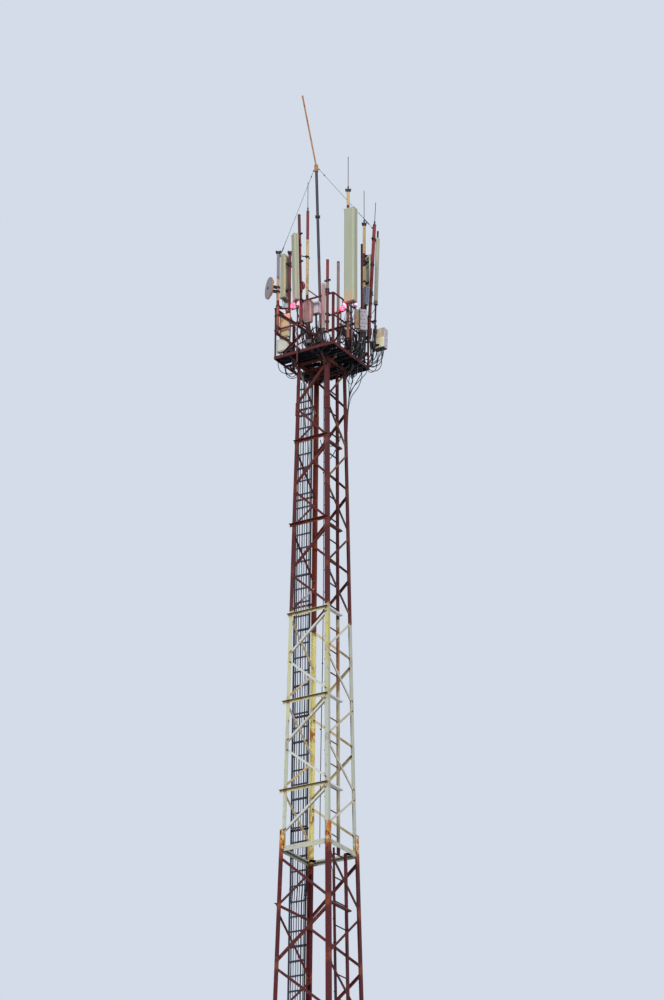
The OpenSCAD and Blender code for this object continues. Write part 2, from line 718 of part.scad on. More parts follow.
// Place of the stay eye beside the top of pipe i, on the side of the mast
function pipe_eye(i) = let (p = pipe_pt(pipes()[i], pipes()[i][3] - 80), d = [-p[0], -p[1], 0])
  p + d / norm(d) * (pipes()[i][5] / 2 + 12);

module antenna_pipes() {
  color([0.62, 0.55, 0.50]) {
    for (p = pipes()) on_pipe(p) translate([0, 0, p[2] - cage_h]) cylinder(h = p[3] - p[2], d = p[5]);
    for (i = [0, 8]) translate(pipe_eye(i)) sphere(d = stay_ball);
  }
}

module mast_stays() {
  a = [stay_eye(-1), stay_eye(1)];
  b = [pipe_eye(0), pipe_eye(8)];
  gap = stay_ball / 2 + seat;
  color([0.35, 0.33, 0.33]) for (i = [0, 1]) let (v = (b[i] - a[i]) / norm(b[i] - a[i]))
    round_bar(a[i] + v * gap, b[i] - v * gap, 8);
}

// A clamp ring on a pipe with its block against the outside of the rail
module clamp(z, d) {
  translate([0, 0, z - cage_h - 18]) difference() {
    union() {
      cylinder(h = 36, d = d + 20);
      translate([-d * 0.46, 0, 0]) cube([d * 0.92, -pipe_y - edge_t - seat, 36]);
    }
    translate([0, 0, -1]) cylinder(h = 38, d = d + 2 * seat);
  }
}

module pipe_clamps() {
  color([0.30, 0.28, 0.28]) for (p = pipes()) on_pipe(p) {
    if (p[3] > cage_h + 20) clamp(cage_h - cage_rail_b / 2, p[5]);
    clamp(mid_rail_h, p[5]);
    if (p[2] < 0) clamp(edge_b / 2, p[5]);
  }
}

// Poles that stand on the deck for the radio units: x, y and height above the deck
pole_d = 48;
function poles() = [
  [-rail_in + 190, -rail_in + 165, 1100],
  [8, -rail_in + 190, 1160]
];

module on_pole(i) {
  translate([poles()[i][0], poles()[i][1], platform_z + deck_top + seat]) children();
}

module equipment_poles() {
  color([0.55, 0.50, 0.46]) for (i = [0:len(poles()) - 1]) on_pole(i) {
    translate([-60, -60, 0]) cube([120, 120, 8]);
    cylinder(h = poles()[i][2], d = pole_d);
  }
}

// A panel antenna with rounded long edges, its back on Y = 0 and its face towards -Y
module panel(w, d, h) {
  r = min(w, d) * 0.28;
  linear_extrude(h) union() {
    translate([-w / 2, -d + r]) square([w, d - r]);
    translate([-w / 2 + r, -d]) square([w - 2 * r, d]);
    for (s = [-1, 1]) translate([s * (w / 2 - r), -d + r]) circle(r = r);
  }
}

// A ring on an upright tube with an arm to the back plate of what it carries
module holder(gap, shift, tube_d, pw) {
  difference() {
    union() {
      cylinder(h = 44, d = tube_d + 20);
      translate([-14, -gap + seat, 4]) cube([28, gap - seat, 36]);
      translate([min(0, shift) - pw / 2, -gap + seat, -8]) cube([abs(shift) + pw, 8, 60]);
    }
    translate([0, 0, -1]) cylinder(h = 46, d = tube_d + 2 * seat);
  }
}

// Antennas: pipe, turn, distance of the back from the pipe's axis, side shift, bottom,
// width, depth, height, heights of the two holders above the bottom
function big() = [6, -90, 84, 153, 1010, big_ant_w, big_ant_d, big_ant_h, 340, 1900];
function panels() = [
  [2, -34, 76, 30, 1110, 160, 100, 1570, 240, 1340],
  [1, 0, 90, -50, 1790, 260, 110, 1040, 160, 800],
  [9, -72, 60, 20, 1600, 75, 50, 1550, 200, 1250],
  [7, 0, 85, -50, 2000, 120, 80, 840, 140, 640],
  [4, -58, 48, -6, 330, 90, 70, 1040, 140, 885]
];

module on_antenna(a) {
  on_pipe(pipes()[a[0]]) rotate([0, 0, a[1]]) children();
}

module big_antenna() {
  a = big();
  color([0.66, 0.67, 0.57]) on_antenna(a) translate([a[3], -a[2], a[4] - cage_h]) panel(a[5], a[6], a[7]);
}

module panel_antennas() {
  color([0.64, 0.65, 0.57]) for (a = panels())
    on_antenna(a) translate([a[3], -a[2], a[4] - cage_h]) panel(a[5], a[6], a[7]);
}

module antenna_brackets() {
  color([0.35, 0.33, 0.33]) for (a = concat([big()], panels()), i = [8, 9])
    on_antenna(a) translate([0, 0, a[4] + a[i] - cage_h]) holder(a[2], a[3], pipes()[a[0]][5], 50);
}

// Radio units on the poles: pole, turn, distance of the back, side shift, bottom, width, depth, height
function pole_units() = [
  [0, 0, 50, 14, 430, 250, 60, 530],
  [0, 0, 50, -25, 110, 290, 62, 290],
  [1, 0, 72, -6, 620, 273, 100, 500],
  [1, 90, 78, 0, 840, 100, 185, 270]
];

// Radio units on the pipes, laid out like the antennas
function pipe_units() = [
  [9, 90, 62, -60, 550, 260, 150, 460, 40, 370],
  [8, -120, 60, 0, 1430, 110, 100, 430, 50, 330],
  [11, -45, 52, 0, 660, 160, 95, 480, 70, 370]
];

module radio_units() {
  color([0.74, 0.70, 0.62]) {
    for (u = pole_units()) on_pole(u[0]) rotate([0, 0, u[1]]) translate([u[3], -u[2], u[4]]) panel(u[5], u[6], u[7]);
    for (a = pipe_units()) on_antenna(a) translate([a[3], -a[2], a[4] - cage_h]) panel(a[5], a[6], a[7]);
  }
}

module radio_brackets() {
  color([0.35, 0.33, 0.33]) {
    for (u = pole_units(), f = [0.2, 0.66]) on_pole(u[0]) rotate([0, 0, u[1]])
      translate([0, 0, u[4] + u[7] * f]) holder(u[2], u[3], pole_d, 50);
    for (a = pipe_units(), i = [8, 9])
      on_antenna(a) translate([0, 0, a[4] + a[i] - cage_h]) holder(a[2], a[3], pipes()[a[0]][5], 50);
    on_pipe(pipes()[2]) rotate([0, 0, drum_turn]) translate([0, 0, drum_z - 22 - cage_h]) holder(drum_gap, 0, pipe_d, 70);
  }
}

// The dish, its axis level, and the rings and arm that carry it
dish_turn = -38.6;
dish_gap = 150;
dish_z = 1560;

module on_dish() {
  on_pipe(pipes()[0]) rotate([0, 0, dish_turn]) translate([0, -dish_gap, dish_z - cage_h]) rotate([90, 0, 0]) children();
}

module dish() {
  r = dish_d / 2;
  color([0.68, 0.68, 0.66]) on_dish() rotate_extrude()
    polygon([[0, 0], [70, 0], [r - 60, dish_t * 0.3], [r, dish_t * 0.5], [r + 5, dish_t * 0.56], [r + 5, dish_t - 8],
      [r - 10, dish_t - 2], [0, dish_t + 12]]);
}

module dish_mount() {
  color([0.28, 0.27, 0.28]) {
    for (s = [-1, 1]) on_pipe(pipes()[0]) rotate([0, 0, dish_turn]) translate([0, 0, dish_z - cage_h - 22 + s * 50])
      difference() {
        union() {
          cylinder(h = 44, d = pipe_d + 26);
          translate([-35, -dish_gap + seat, 0]) cube([70, dish_gap, 44]);
        }
        translate([0, 0, -1]) cylinder(h = 46, d = pipe_d + 2 * seat);
      }
  }
}

// A small round radio in a red shell
drum_d = 190;
drum_turn = -150;
drum_gap = 56;
drum_z = 1565;

module drum_radio() {
  color([0.55, 0.16, 0.20]) on_pipe(pipes()[2]) rotate([0, 0, drum_turn]) translate([0, -drum_gap, drum_z - cage_h])
    rotate([90, 0, 0]) rotate_extrude() polygon([[0, 0], [drum_d / 2 - 20, 0], [drum_d / 2, 20], [drum_d / 2, 80], [drum_d / 2 - 14, 90], [0, 96]]);
}

// Lamps: side, place along it, distance from the cage plane, height of the lamp's base
lamp_y = -edge_t - seat - 44;
arm_x = 127;
function red_lamps() = [[0, pipes()[10][1] - arm_x, pipe_y, pipes()[10][3]], [1, -444, lamp_y, 850]];
function white_lamps() = [[0, pipes()[10][1], pipe_y, pipes()[10][3]], [1, -366, lamp_y, 915], [1, 66, lamp_y, 1170]];

module lamp_brackets() {
  color([0.30, 0.28, 0.28]) {
    for (l = concat(red_lamps(), white_lamps())) if (l[2] == lamp_y) on_cage(l[0]) translate([l[1], 0, 0]) {
      rail_z = l[3] > 900 ? cage_h - cage_rail_b : mid_rail_h - cage_rail_b / 2;
      z0 = min(rail_z, l[3] - 6);
      translate([-20, -edge_t - seat - 5, z0]) cube([40, 5, max(rail_z + cage_rail_b, l[3]) - z0]);
      translate([-25, lamp_y - 25, l[3] - 6]) cube([50, 25 - lamp_y - edge_t - seat - 2, 6]);
    }
    on_pipe(pipes()[10]) translate([0, 0, pipes()[10][3] - cage_h - 40]) difference() {
      union() {
        cylinder(h = 30, d = pipes()[10][5] + 20);
        translate([-arm_x - 20, -5, 6]) cube([arm_x + 20, 10, 20]);
        translate([-arm_x - 12, -12, 20]) cube([24, 24, 16]);
        translate([-arm_x - 28, -28, 34]) cube([56, 56, 6]);
      }
      translate([0, 0, -1]) cylinder(h = 40, d = pipes()[10][5] + 2 * seat);
    }
  }
}

module lamp_at(l) {
  on_cage(l[0]) translate([l[1], l[2], l[3] + seat]) children();
}

module warning_lamps() {
  color([0.85, 0.15, 0.15]) for (l = red_lamps()) lamp_at(l) rotate_extrude()
    polygon([[0, 0], [30, 0], [30, 30], [38, 36], [38, 90], [30, 112], [14, 124], [0, 126]]);
}

module lamp_cylinders() {
  color([0.85, 0.84, 0.82]) for (l = white_lamps()) lamp_at(l) {
    cylinder(h = 26, d = 54);
    translate([0, 0, 20]) cylinder(h = 150, d = 68);
  }
}

// Thin whip antennas on four of the pipes: pipe and length
function whips() = [[3, 720], [6, 810], [7, 810], [8, 570]];

module whip_antennas() {
  color([0.85, 0.85, 0.82]) for (w = whips()) {
    p = pipes()[w[0]];
    on_pipe(p) translate([0, 0, p[3] - cage_h + seat]) {
      cylinder(h = 90, d = 34);
      cylinder(h = w[1], d = 14);
    }
  }
}

// A stiff cable loop: a half ring between two straight ends, its tops on z = 0
module hang_loop(w, drop) {
  translate([0, 0, -drop]) {
    rotate([90, 0, 0]) rotate_extrude(angle = -180) translate([w / 2, 0]) circle(d = jumper_d, $fn = 24);
    for (s = [-1, 1]) translate([s * w / 2, 0, 0]) cylinder(h = drop, d = jumper_d);
  }
}

// Loops under the deck, hung from the bearers: quarter turn, place along it, width, drop
function loops() = [[0, -560, 220, 90], [3, 520, 240, 60], [1, 560, 260, 120], [2, -560, 200, 150]];

module jumper_cables() {
  color([0.10, 0.10, 0.12]) for (l = loops()) rotate([0, 0, 90 * l[0]])
    translate([l[1], 30 - head_w / 2, platform_z - bearer_drop - seat]) hang_loop(l[2], l[3]);
}

anchor_frame();
foot_plates();
lower_leg_0();
lower_leg_1();
lower_leg_2();
lower_leg_3();
upper_leg_0();
upper_leg_1();
upper_leg_2();
upper_leg_3();
lower_lacing_front();
lower_lacing_right();
lower_lacing_back();
lower_lacing_left();
upper_lacing_front();
upper_lacing_right();
upper_lacing_back();
upper_lacing_left();
cross_bars();
joint_frame();
lap_packers();
leg_covers();
ladder_lower();
ladder_upper();
ladder_ties();
cable_rack();
rack_ties();
feeder_cables();
riser_cable();
top_frame();
platform_bearers();
platform_edge();
deck_planks();
cage_posts();
cage_rails();
cage_braces();
mast();
mast_tip();
mast_stays();
antenna_pipes();
pipe_clamps();
equipment_poles();
big_antenna();
panel_antennas();
antenna_brackets();
radio_units();
radio_brackets();
dish();
dish_mount();
drum_radio();
lamp_brackets();
warning_lamps();
lamp_cylinders();
whip_antennas();
jumper_cables();
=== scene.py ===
"""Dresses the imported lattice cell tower: weathered paint, bolts, fins, fittings, leads and lamps."""

import math
import random
from collections import namedtuple
from itertools import product

import bmesh
import bpy
from bpy.props import FloatProperty, FloatVectorProperty, IntProperty, PointerProperty
from mathutils import Matrix, Vector


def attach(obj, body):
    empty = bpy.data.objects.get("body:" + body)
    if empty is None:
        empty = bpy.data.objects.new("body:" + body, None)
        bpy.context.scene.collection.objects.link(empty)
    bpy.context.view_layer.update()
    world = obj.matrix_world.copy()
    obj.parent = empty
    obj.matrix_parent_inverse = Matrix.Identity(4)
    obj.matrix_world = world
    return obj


bl_info = {
    "name": "Lattice Cell Tower",
    "version": (1, 1, 0),
    "blender": (4, 5, 0),
    "location": "View3D > Sidebar > Tower",
    "description": "Finishes, small fittings and stage for a lattice cell tower",
    "category": "Object",
}

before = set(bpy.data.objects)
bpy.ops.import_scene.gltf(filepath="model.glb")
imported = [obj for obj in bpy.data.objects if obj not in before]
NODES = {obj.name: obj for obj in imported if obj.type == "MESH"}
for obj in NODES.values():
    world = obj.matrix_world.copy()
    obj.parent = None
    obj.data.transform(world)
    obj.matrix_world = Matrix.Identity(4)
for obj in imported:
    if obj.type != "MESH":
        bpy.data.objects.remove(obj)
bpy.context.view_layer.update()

# The tower's main lines, in metres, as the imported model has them.
PLATFORM_Z = 30.0
JOINT_Z = 19.35
BASE_HALF, JOINT_LOW_HALF, JOINT_UP_HALF, HEAD_HALF = 0.975, 0.570, 0.535, 0.3675
LOW_LEG, UP_LEG = 0.090, 0.080
LOW_LEAN = math.atan((BASE_HALF - JOINT_LOW_HALF) / JOINT_Z)
UP_LEAN = math.atan((JOINT_UP_HALF - HEAD_HALF) / (PLATFORM_Z - JOINT_Z))
LOW_FIRST, LOW_COUNT = 0.300, 17
LOW_PITCH = (JOINT_Z / math.cos(LOW_LEAN) - 0.1 - LOW_FIRST) / LOW_COUNT
UP_FIRST, UP_PITCH, UP_COUNT = 0.290, 0.935, 11
RAIL_IN = 0.719
PIPE_Y = -0.081
CAGE_H = 1.2
POLE_FOOT = PLATFORM_Z + 0.0606
BAND_TOP = 24.33
LADDER_MID, RUNG_Y, RUNG_PITCH = -0.2525, -0.045, 0.300
MAST_LEAN = math.tan(math.radians(2.0))
# How far the bolted faces stand from their frames: cross bars, leg covers.
BAR_FACE, COVER_FACE = -0.0053, 0.0083
# The turn that brings a pipe's fitting square to the photograph's view.
VIEW_TURN = 31

Pipe = namedtuple("Pipe", "side place bottom top lean diameter")
Unit = namedtuple("Unit", "holder turn gap shift bottom width depth height ports", defaults=(0,))

# Pipes round the cage, with their bottom and top above the platform.
PIPES = [Pipe(*row) for row in (
    (0, -0.594, 0.56, 2.45, 0.0, 0.06), (3, 0.020, 0.56, 2.87, 0.0, 0.06),
    (0, -0.029, 0.56, 3.20, -1.7, 0.06), (3, -0.689, 0.56, 4.20, 0.0, 0.06),
    (0, 0.619, 0.24, 1.93, 0.0, 0.06), (2, 0.094, 0.56, 2.82, 0.0, 0.06),
    (1, -0.278, 0.28, 3.79, 0.0, 0.06), (2, -0.549, 0.56, 3.56, 0.0, 0.06),
    (1, 0.604, 0.56, 3.48, 5.2, 0.07), (1, 0.833, 0.44, 3.38, 3.1, 0.04),
    (0, -0.108, -0.24, 1.02, 0.0, 0.03), (1, 0.282, 0.56, 2.75, 0.0, 0.045))]
# Antennas on the pipes; the ports are the connectors below them.
ANTENNAS = [Unit(*row) for row in (
    (6, -90, 0.084, 0.153, 1.01, 0.25, 0.15, 2.20, 4), (2, -34, 0.076, 0.030, 1.11, 0.16, 0.10, 1.57, 2),
    (1, 0, 0.090, -0.050, 1.79, 0.26, 0.11, 1.04, 4), (9, -72, 0.060, 0.020, 1.60, 0.075, 0.05, 1.55, 1),
    (7, 0, 0.085, -0.050, 2.00, 0.12, 0.08, 0.84, 2), (4, -58, 0.048, -0.006, 0.33, 0.09, 0.07, 1.04, 2))]
POLES = ((-0.529, -0.554), (0.008, -0.529))
# Radio units on the poles and on the pipes.
UPPER_FLAT, LOWER_FLAT, FINNED, WHITE_BOX = POLE_UNITS = [Unit(*row) for row in (
    (0, 0, 0.050, 0.014, 0.43, 0.250, 0.060, 0.530), (0, 0, 0.050, -0.025, 0.11, 0.290, 0.062, 0.290),
    (1, 0, 0.072, -0.006, 0.62, 0.273, 0.100, 0.500), (1, 90, 0.078, 0.0, 0.84, 0.100, 0.185, 0.270))]
RIGHT_UNIT, SLATE_UNIT, PERFORATED = PIPE_UNITS = [Unit(*row) for row in (
    (9, 90, 0.062, -0.060, 0.55, 0.260, 0.150, 0.460), (8, -120, 0.060, 0.0, 1.43, 0.110, 0.100, 0.430),
    (11, -45, 0.052, 0.0, 0.66, 0.160, 0.095, 0.480))]

MATH, RANGE, SPLIT = "ShaderNodeMath", "ShaderNodeMapRange", "ShaderNodeSeparateXYZ"
# The height at which the ramp of the paint bands ends.
RAMP_TOP = 40.0


def bands(red, white, edge=BAND_TOP, low_red=None):
    """The height bands of the air-traffic paint, from the ground up."""
    low_red = low_red or red
    return (0.0, low_red), (6.45, white), (12.9, low_red), (JOINT_Z + 0.004, white), (edge, red)


def coat(base, roughness, *layers, **more):
    """A row of FINISHES, as weathered() takes it."""
    return dict(base=base, roughness=roughness, layers=layers, **more)


RUNS = ("#6E6A62", 0.35, 0.54, 0.74, 5, 0.22), ("#4E2E26", 0.045, 0.62, 0.70, 3, 0.7)
UP_RUST = ("#8A4526", JOINT_Z + UP_FIRST, UP_PITCH, 0.14, 0.4)
LOW_RUST = ("#8A4526", LOW_FIRST, LOW_PITCH, 0.17, 0.75)
LAP_STAIN = ("#B08A48", JOINT_Z - 0.1, JOINT_Z + 0.25, 0.6)
LAP_TOP = JOINT_Z + 0.6

FINISHES = {
    # Brushed alkyd paint on hot-rolled angles: matt and chalked by the sun, with rust from the bolts.
    "banded_paint_upper_leg_0": coat(bands("red", "white", 24.1), 0.62, *RUNS, nodes=UP_RUST,
                                     zones=(LAP_STAIN,)),
    # The back leg's bands are painted lighter and warmer than the other legs': painted light that lifts the
    # shade on this leg, seen from inside the tower.
    "banded_paint_upper_leg_1": coat(
        bands("#6E2C1E", "#DCD28E", 24.1), 0.62, *RUNS, nodes=UP_RUST,
        zones=(("#A8682E", 21.9, 22.2, 0.7), ("#A8682E", 20.2, 20.4, 0.7), LAP_STAIN)),
    "banded_paint_upper_leg_2": coat(bands("red", "#C3C19A"), 0.62, *RUNS, nodes=UP_RUST,
                                     zones=(("#B4B9A9", JOINT_Z, 22.0, 0.6), LAP_STAIN)),
    "banded_paint_upper_leg_3": coat(
        bands("red", "#B4B9A9"), 0.62, *RUNS, nodes=UP_RUST,
        zones=(("#BDB77C", 22.3, 24.3, 0.5), ("#C6BE6E", 23.3, 24.3, 0.5), LAP_STAIN)),
    # The older, oilier red of the lower legs ends at the laps, where the paint has gone.
    "banded_paint_with_bare_laps": coat(
        bands("red", "white", low_red="#4E1418"), 0.6, ("#36121A", 0.3, 0.5, 0.7, 5, 0.6),
        ("#7E3A1C", 0.04, 0.60, 0.68, 3, 0.55), nodes=LOW_RUST,
        zones=(("#C9A85C", JOINT_Z - 0.02, LAP_TOP, 1.0), ("#B4681F", JOINT_Z - 0.06, LAP_TOP, 0.55),
               ("#DAD2A8", JOINT_Z + 0.02, LAP_TOP, 0.32), ("#6E3418", JOINT_Z - 0.1, LAP_TOP, 0.30))),
    # Raw mild steel plate: ochre with brown rust.
    "bare_packer": coat("#B98A3E", 0.75, ("#8A3F1E", 0.05, 0.45, 0.6, 1, 0.8)),
    # The same alkyd on the lacing: soot lies on its upper faces, and the lower ones show primer.
    "banded_lacing_paint": coat(
        bands("red", "white", low_red="#4A1518"), 0.62, ("#43202A", 0.5, 0.5, 0.66, 1, 0.7),
        ("#9A5430", 0.07, 0.6, 0.68, 1, 0.7), nodes=LOW_RUST, over=("#2A1719", 0.8),
        under=("#8A4228", 0.5)),
    "banded_lacing_in_shade": coat(
        bands("#4A2226", "#A29A82", low_red="#662A26"), 0.65, ("#2C161C", 0.5, 0.56, 0.70, 1, 0.5),
        ("#A05A2C", 0.10, 0.58, 0.68, 1, 0.4), over=("#2A1719", 0.7)),
    "front_lacing_paint": coat(
        bands("red", "#C6C9BC"), 0.62, ("#8A4A2C", 0.6, 0.60, 0.70, 1, 0.35),
        ("#4E3A32", 0.06, 0.6, 0.7, 1, 0.6), nodes=UP_RUST, over=("#3A1A18", 0.75),
        under=("#7E4A34", 0.4)),
    "right_lacing_paint": coat(
        bands("red", "#CAC6B2", 24.2), 0.62, ("#B08A50", 0.9, 0.50, 0.56, 1, 0.45),
        ("#6A4A34", 0.5, 0.62, 0.70, 1, 0.35), nodes=UP_RUST, over=("#3A1A18", 0.75),
        under=("#84603C", 0.35)),
    # The left and back sides are painted lighter than the front and right: painted light that lifts the shade
    # on the far lacing, seen from inside the tower.
    "left_lacing_paint": coat(bands("#5A2420", "#E0C68C", 24.2), 0.68,
                              ("#D8D4D4", 0.9, 0.52, 0.58, 1, 0.7), ("#A9642B", 0.12, 0.58, 0.66, 1, 0.35)),
    "back_lacing_paint": coat(bands("#5A2826", "#C8B88E", 24.2), 0.68,
                              ("#7A5A40", 0.3, 0.56, 0.66, 1, 0.5)),
    # Paint on sheared flats and bars: thin at the edges, so rust and dirt show in broad patches.
    "splice_cover_paint": coat(
        bands("red", "#A98E5E", low_red="#4E1418"), 0.66, ("#9A5430", 0.08, 0.55, 0.66, 2, 0.6),
        ("#3E2024", 0.12, 0.58, 0.7, 2, 0.6)),
    # The cross bars' down-facing faces are painted dark brown: painted shade under their flanges.
    "cross_bar_paint": coat(
        bands("#6A2A20", "#D2C996", 24.7, "#561E1E"), 0.66, ("#A98458", 0.14, 0.56, 0.66, 1, 0.6),
        ("#5A3020", 0.05, 0.62, 0.68, 1, 0.6), over=("#2A1716", 0.85), under=("#4E2214", 0.95)),
    # The joint frame's down-facing faces are painted near black: painted shade under the frame.
    "joint_frame_paint": coat("#B7B8A6", 0.6, ("#8A8B7C", 0.2, 0.5, 0.7, 1, 0.5),
                              ("#6A4A34", 0.05, 0.6, 0.7, 1, 0.7), under=("#33261F", 0.85)),
    # The rack's own paint stops lower than the legs'.
    "rack_paint": coat(
        ((0.0, "#5E262B"), (6.45, "#C4B48C"), (12.9, "#5E262B"), (JOINT_Z - 0.04, "#C3B48E"),
         (24.2, "#521C1E")), 0.66, ("#33242E", 0.25, 0.5, 0.64, 3, 0.55),
        ("#8A5A38", 0.06, 0.6, 0.7, 1, 0.7), zones=(("#A2734A", 22.6, 24.05, 0.85),),
        over=("#2A2838", 0.8), under=("#2A2838", 0.6)),
    "rack_tie_paint": coat(bands("#5A2826", "#D6D6CE", 24.4), 0.66, ("#9A8A72", 0.10, 0.58, 0.68, 1, 0.4)),
    "red_lead_over_rust": coat("#7A3E2A", 0.7, ("#A9662F", 0.08, 0.5, 0.62, 1, 0.7),
                               ("#3D2226", 0.12, 0.52, 0.7, 1.5, 0.6), over=("#2E1C1E", 0.7)),
    # Sprayed red oxide paint on the cage and head: dull, sooty above and orange where it has flaked.
    "cage_red": coat("#541C1E", 0.66, ("#7A3420", 0.09, 0.58, 0.68, 1.5, 0.5),
                     ("#2F1A20", 0.14, 0.5, 0.66, 1.5, 0.65), over=("#2A181C", 0.6)),
    "brace_rust": coat("#7E4228", 0.72, ("#2E1A1E", 0.12, 0.45, 0.6, 1, 0.75)),
    "brace_red": coat("#4A2224", 0.68, ("#8A4A2C", 0.06, 0.54, 0.66, 1, 0.7)),
    "head_frame_primer": coat("#683024", 0.7, ("#4A2220", 0.1, 0.48, 0.62, 1.5, 0.7),
                              ("#A8602F", 0.06, 0.6, 0.7, 1, 0.6)),
    "knee_bracket_paint": coat("#3A1E20", 0.68, ("#7A4228", 0.05, 0.5, 0.64, 1, 0.6)),
    "corner_plate_rust": coat("#3A2A26", 0.7, ("#7A4A2E", 0.04, 0.5, 0.62, 1, 0.7)),
    # Brushed bitumen on the deck: nearly black, with brown where boots have worn it.
    "bitumen_black_steel": coat("#100F14", 0.65, ("#2A2024", 0.1, 0.5, 0.7, 1, 0.5),
                                ("#4A2E24", 0.05, 0.66, 0.72, 1, 0.6)),
    # Hot-dip zinc: a grey metal with its spangle in two tones.
    "hot_dip_zinc": coat("#8D8F8E", 0.55, ("#6F7170", 0.05, 0.45, 0.6, 1, 0.6),
                         ("#A9ABA8", 0.12, 0.5, 0.6, 1, 0.5), metallic=0.75),
    "zinc_stud": coat("#8A8B8A", 0.45, ("#6F706F", 0.02, 0.45, 0.6, 1, 0.6), metallic=0.8, bump=0),
    "galvanised_bar": coat("#A9A9A4", 0.5, ("#7A7A78", 0.06, 0.5, 0.62, 1, 0.6), metallic=0.5),
    "stay_zinc": coat("#4A484C", 0.45, ("#2E2A2C", 0.02, 0.5, 0.62, 1, 0.5), metallic=0.6, bump=0),
    # Dipped enamel on the ladder: a dark satin blue, chipped to rust.
    "dark_blue_enamel": coat("#262337", 0.5, ("#171523", 0.3, 0.45, 0.65, 3, 0.6),
                             ("#5A3A34", 0.05, 0.66, 0.72, 1, 0.6)),
    # Extruded polyethylene: satin black, with pale strips of chalk along some cables.
    "polyethylene_sheath": coat("#24252E", 0.45, ("#15161E", 0.4, 0.45, 0.6, 6, 0.7),
                                ("#9C9CAC", 0.085, 0.53, 0.57, 60, 0.85)),
    "matt_black_sheath": coat("#121218", 0.5, ("#2E2E38", 0.08, 0.5, 0.64, 1, 0.5), bump=0),
    # Zinc-plated and blackened small steel: a dull dark metal with specks of rust.
    "blackened_cleat": coat("#2C2A30", 0.55, ("#5A3A30", 0.03, 0.55, 0.65, 1, 0.6), metallic=0.4),
    "blackened_zinc": coat("#1C1A1F", 0.5, ("#3A3438", 0.04, 0.5, 0.65, 1, 0.6),
                           ("#6B3E2C", 0.03, 0.64, 0.72, 1, 0.6), metallic=0.4),
    "black_band_steel": coat("#17151A", 0.5, ("#3E2A28", 0.03, 0.55, 0.66, 1, 0.7), metallic=0.4),
    "dish_back_steel": coat("#2A262C", 0.55, ("#5A4238", 0.04, 0.52, 0.64, 1, 0.6), metallic=0.3),
    "black_guard_wire": coat("#1C1A20", 0.45, metallic=0.4, bump=0),
    "nickel_connector": coat("#3A3638", 0.4, ("#6A6668", 0.01, 0.5, 0.6, 1, 0.6), metallic=0.6),
    "painted_rusty_bolt": coat("#5E3A30", 0.6, ("#8A4A2C", 0.03, 0.5, 0.62, 1, 0.7),
                               ("#241A1E", 0.02, 0.56, 0.66, 1, 0.6), metallic=0.2),
    "rusty_cage_bolt": coat("#4A2A28", 0.6, ("#8A4A2C", 0.03, 0.5, 0.62, 1, 0.6), metallic=0.2),
    # Drawn steel tube: tarred on the mast, bare on its tip, hand painted on the pipes.
    "tarred_tube": coat(((0.0, "#4A2529"), (32.47, "#1B1A2A")), 0.5, ("#14121C", 0.2, 0.52, 0.7, 3, 0.6)),
    "rusted_tube": coat("#A9784E", 0.75, ("#8A4A2C", 0.10, 0.48, 0.6, 2, 0.8),
                        ("#C9A583", 0.08, 0.6, 0.7, 1, 0.5)),
    "weathered_pipe_paint": coat("#5E2424", 0.6, ("#7E4438", 0.25, 0.52, 0.62, 4, 0.6),
                                 ("#351A20", 0.12, 0.54, 0.68, 4, 0.6)),
    "painted_tube_cap": coat("#4A2428", 0.6, ("#8A5A48", 0.04, 0.5, 0.66, 1, 0.6)),
    "lilac_grey_coat": coat("#8A8490", 0.62, ("#6A5A60", 0.06, 0.56, 0.66, 3, 0.75)),
    "cream_coat": coat("#C2A876", 0.62, ("#8A4A2C", 0.06, 0.56, 0.66, 3, 0.75)),
    "orange_brown_coat": coat("#7E523C", 0.62, ("#4A2A26", 0.06, 0.56, 0.66, 3, 0.75)),
    "signal_red_coat": coat("#7E2C2E", 0.62, ("#4A1A20", 0.06, 0.56, 0.66, 3, 0.75)),
    "grey_pink_coat": coat("#8E7672", 0.62, ("#6A4A48", 0.06, 0.56, 0.66, 3, 0.75)),
    # Pultruded and moulded glass fibre: an even chalky skin with long faint streaks.
    "chalked_glass_fibre": coat("shell", 0.55, ("#8E8E7A", 0.5, 0.45, 0.70, 5, 0.45),
                                ("#B9B7A0", 0.3, 0.55, 0.7, 4, 0.5), grain=0.004,
                                zones=(("#B79F78", 30.95, 31.25, 0.5),)),
    "chalked_panel_fibre": coat("#A2A28C", 0.55, ("#8E8E7A", 0.3, 0.48, 0.70, 4, 0.5),
                                ("#B7A67E", 0.10, 0.60, 0.7, 3, 0.5), grain=0.004),
    # The tan back cover is painted lighter than it is: painted light that lifts the shade on its face.
    "tan_back_cover": coat("#E6D8AC", 0.55, ("#A08058", 0.08, 0.56, 0.68, 3, 0.5)),
    "green_back_cover": coat("#D2D6C0", 0.55, ("#A08058", 0.08, 0.56, 0.68, 3, 0.5)),
    "pinkish_shell": coat("#9C7A78", 0.55, ("#6E4A4A", 0.08, 0.5, 0.66, 4, 0.6)),
    "dark_whip_fibre": coat("#2B2236", 0.5, ("#5A2A2C", 0.1, 0.5, 0.7, 4, 0.6)),
    # Moulded ABS: smooth, with dust in its corners.
    "moulded_end_cap": coat("#8E7E66", 0.5, ("#5E4A3A", 0.05, 0.5, 0.64, 1, 0.6)),
    "moulded_top_cap": coat("#B9B8A2", 0.5, ("#8E8C78", 0.05, 0.5, 0.64, 1, 0.5)),
    "seam_shadow": coat("#77776A", 0.6, bump=0),
    "moulded_radome": coat("#8C868C", 0.5, ("#7E787C", 0.1, 0.5, 0.7, 1, 0.4)),
    "dish_rim_paint": coat("#A08068", 0.6, ("#7A5A48", 0.06, 0.52, 0.64, 1, 0.6)),
    "crimson_shell": coat("#8A1A2C", 0.4, ("#4A1420", 0.08, 0.5, 0.7, 1, 0.5)),
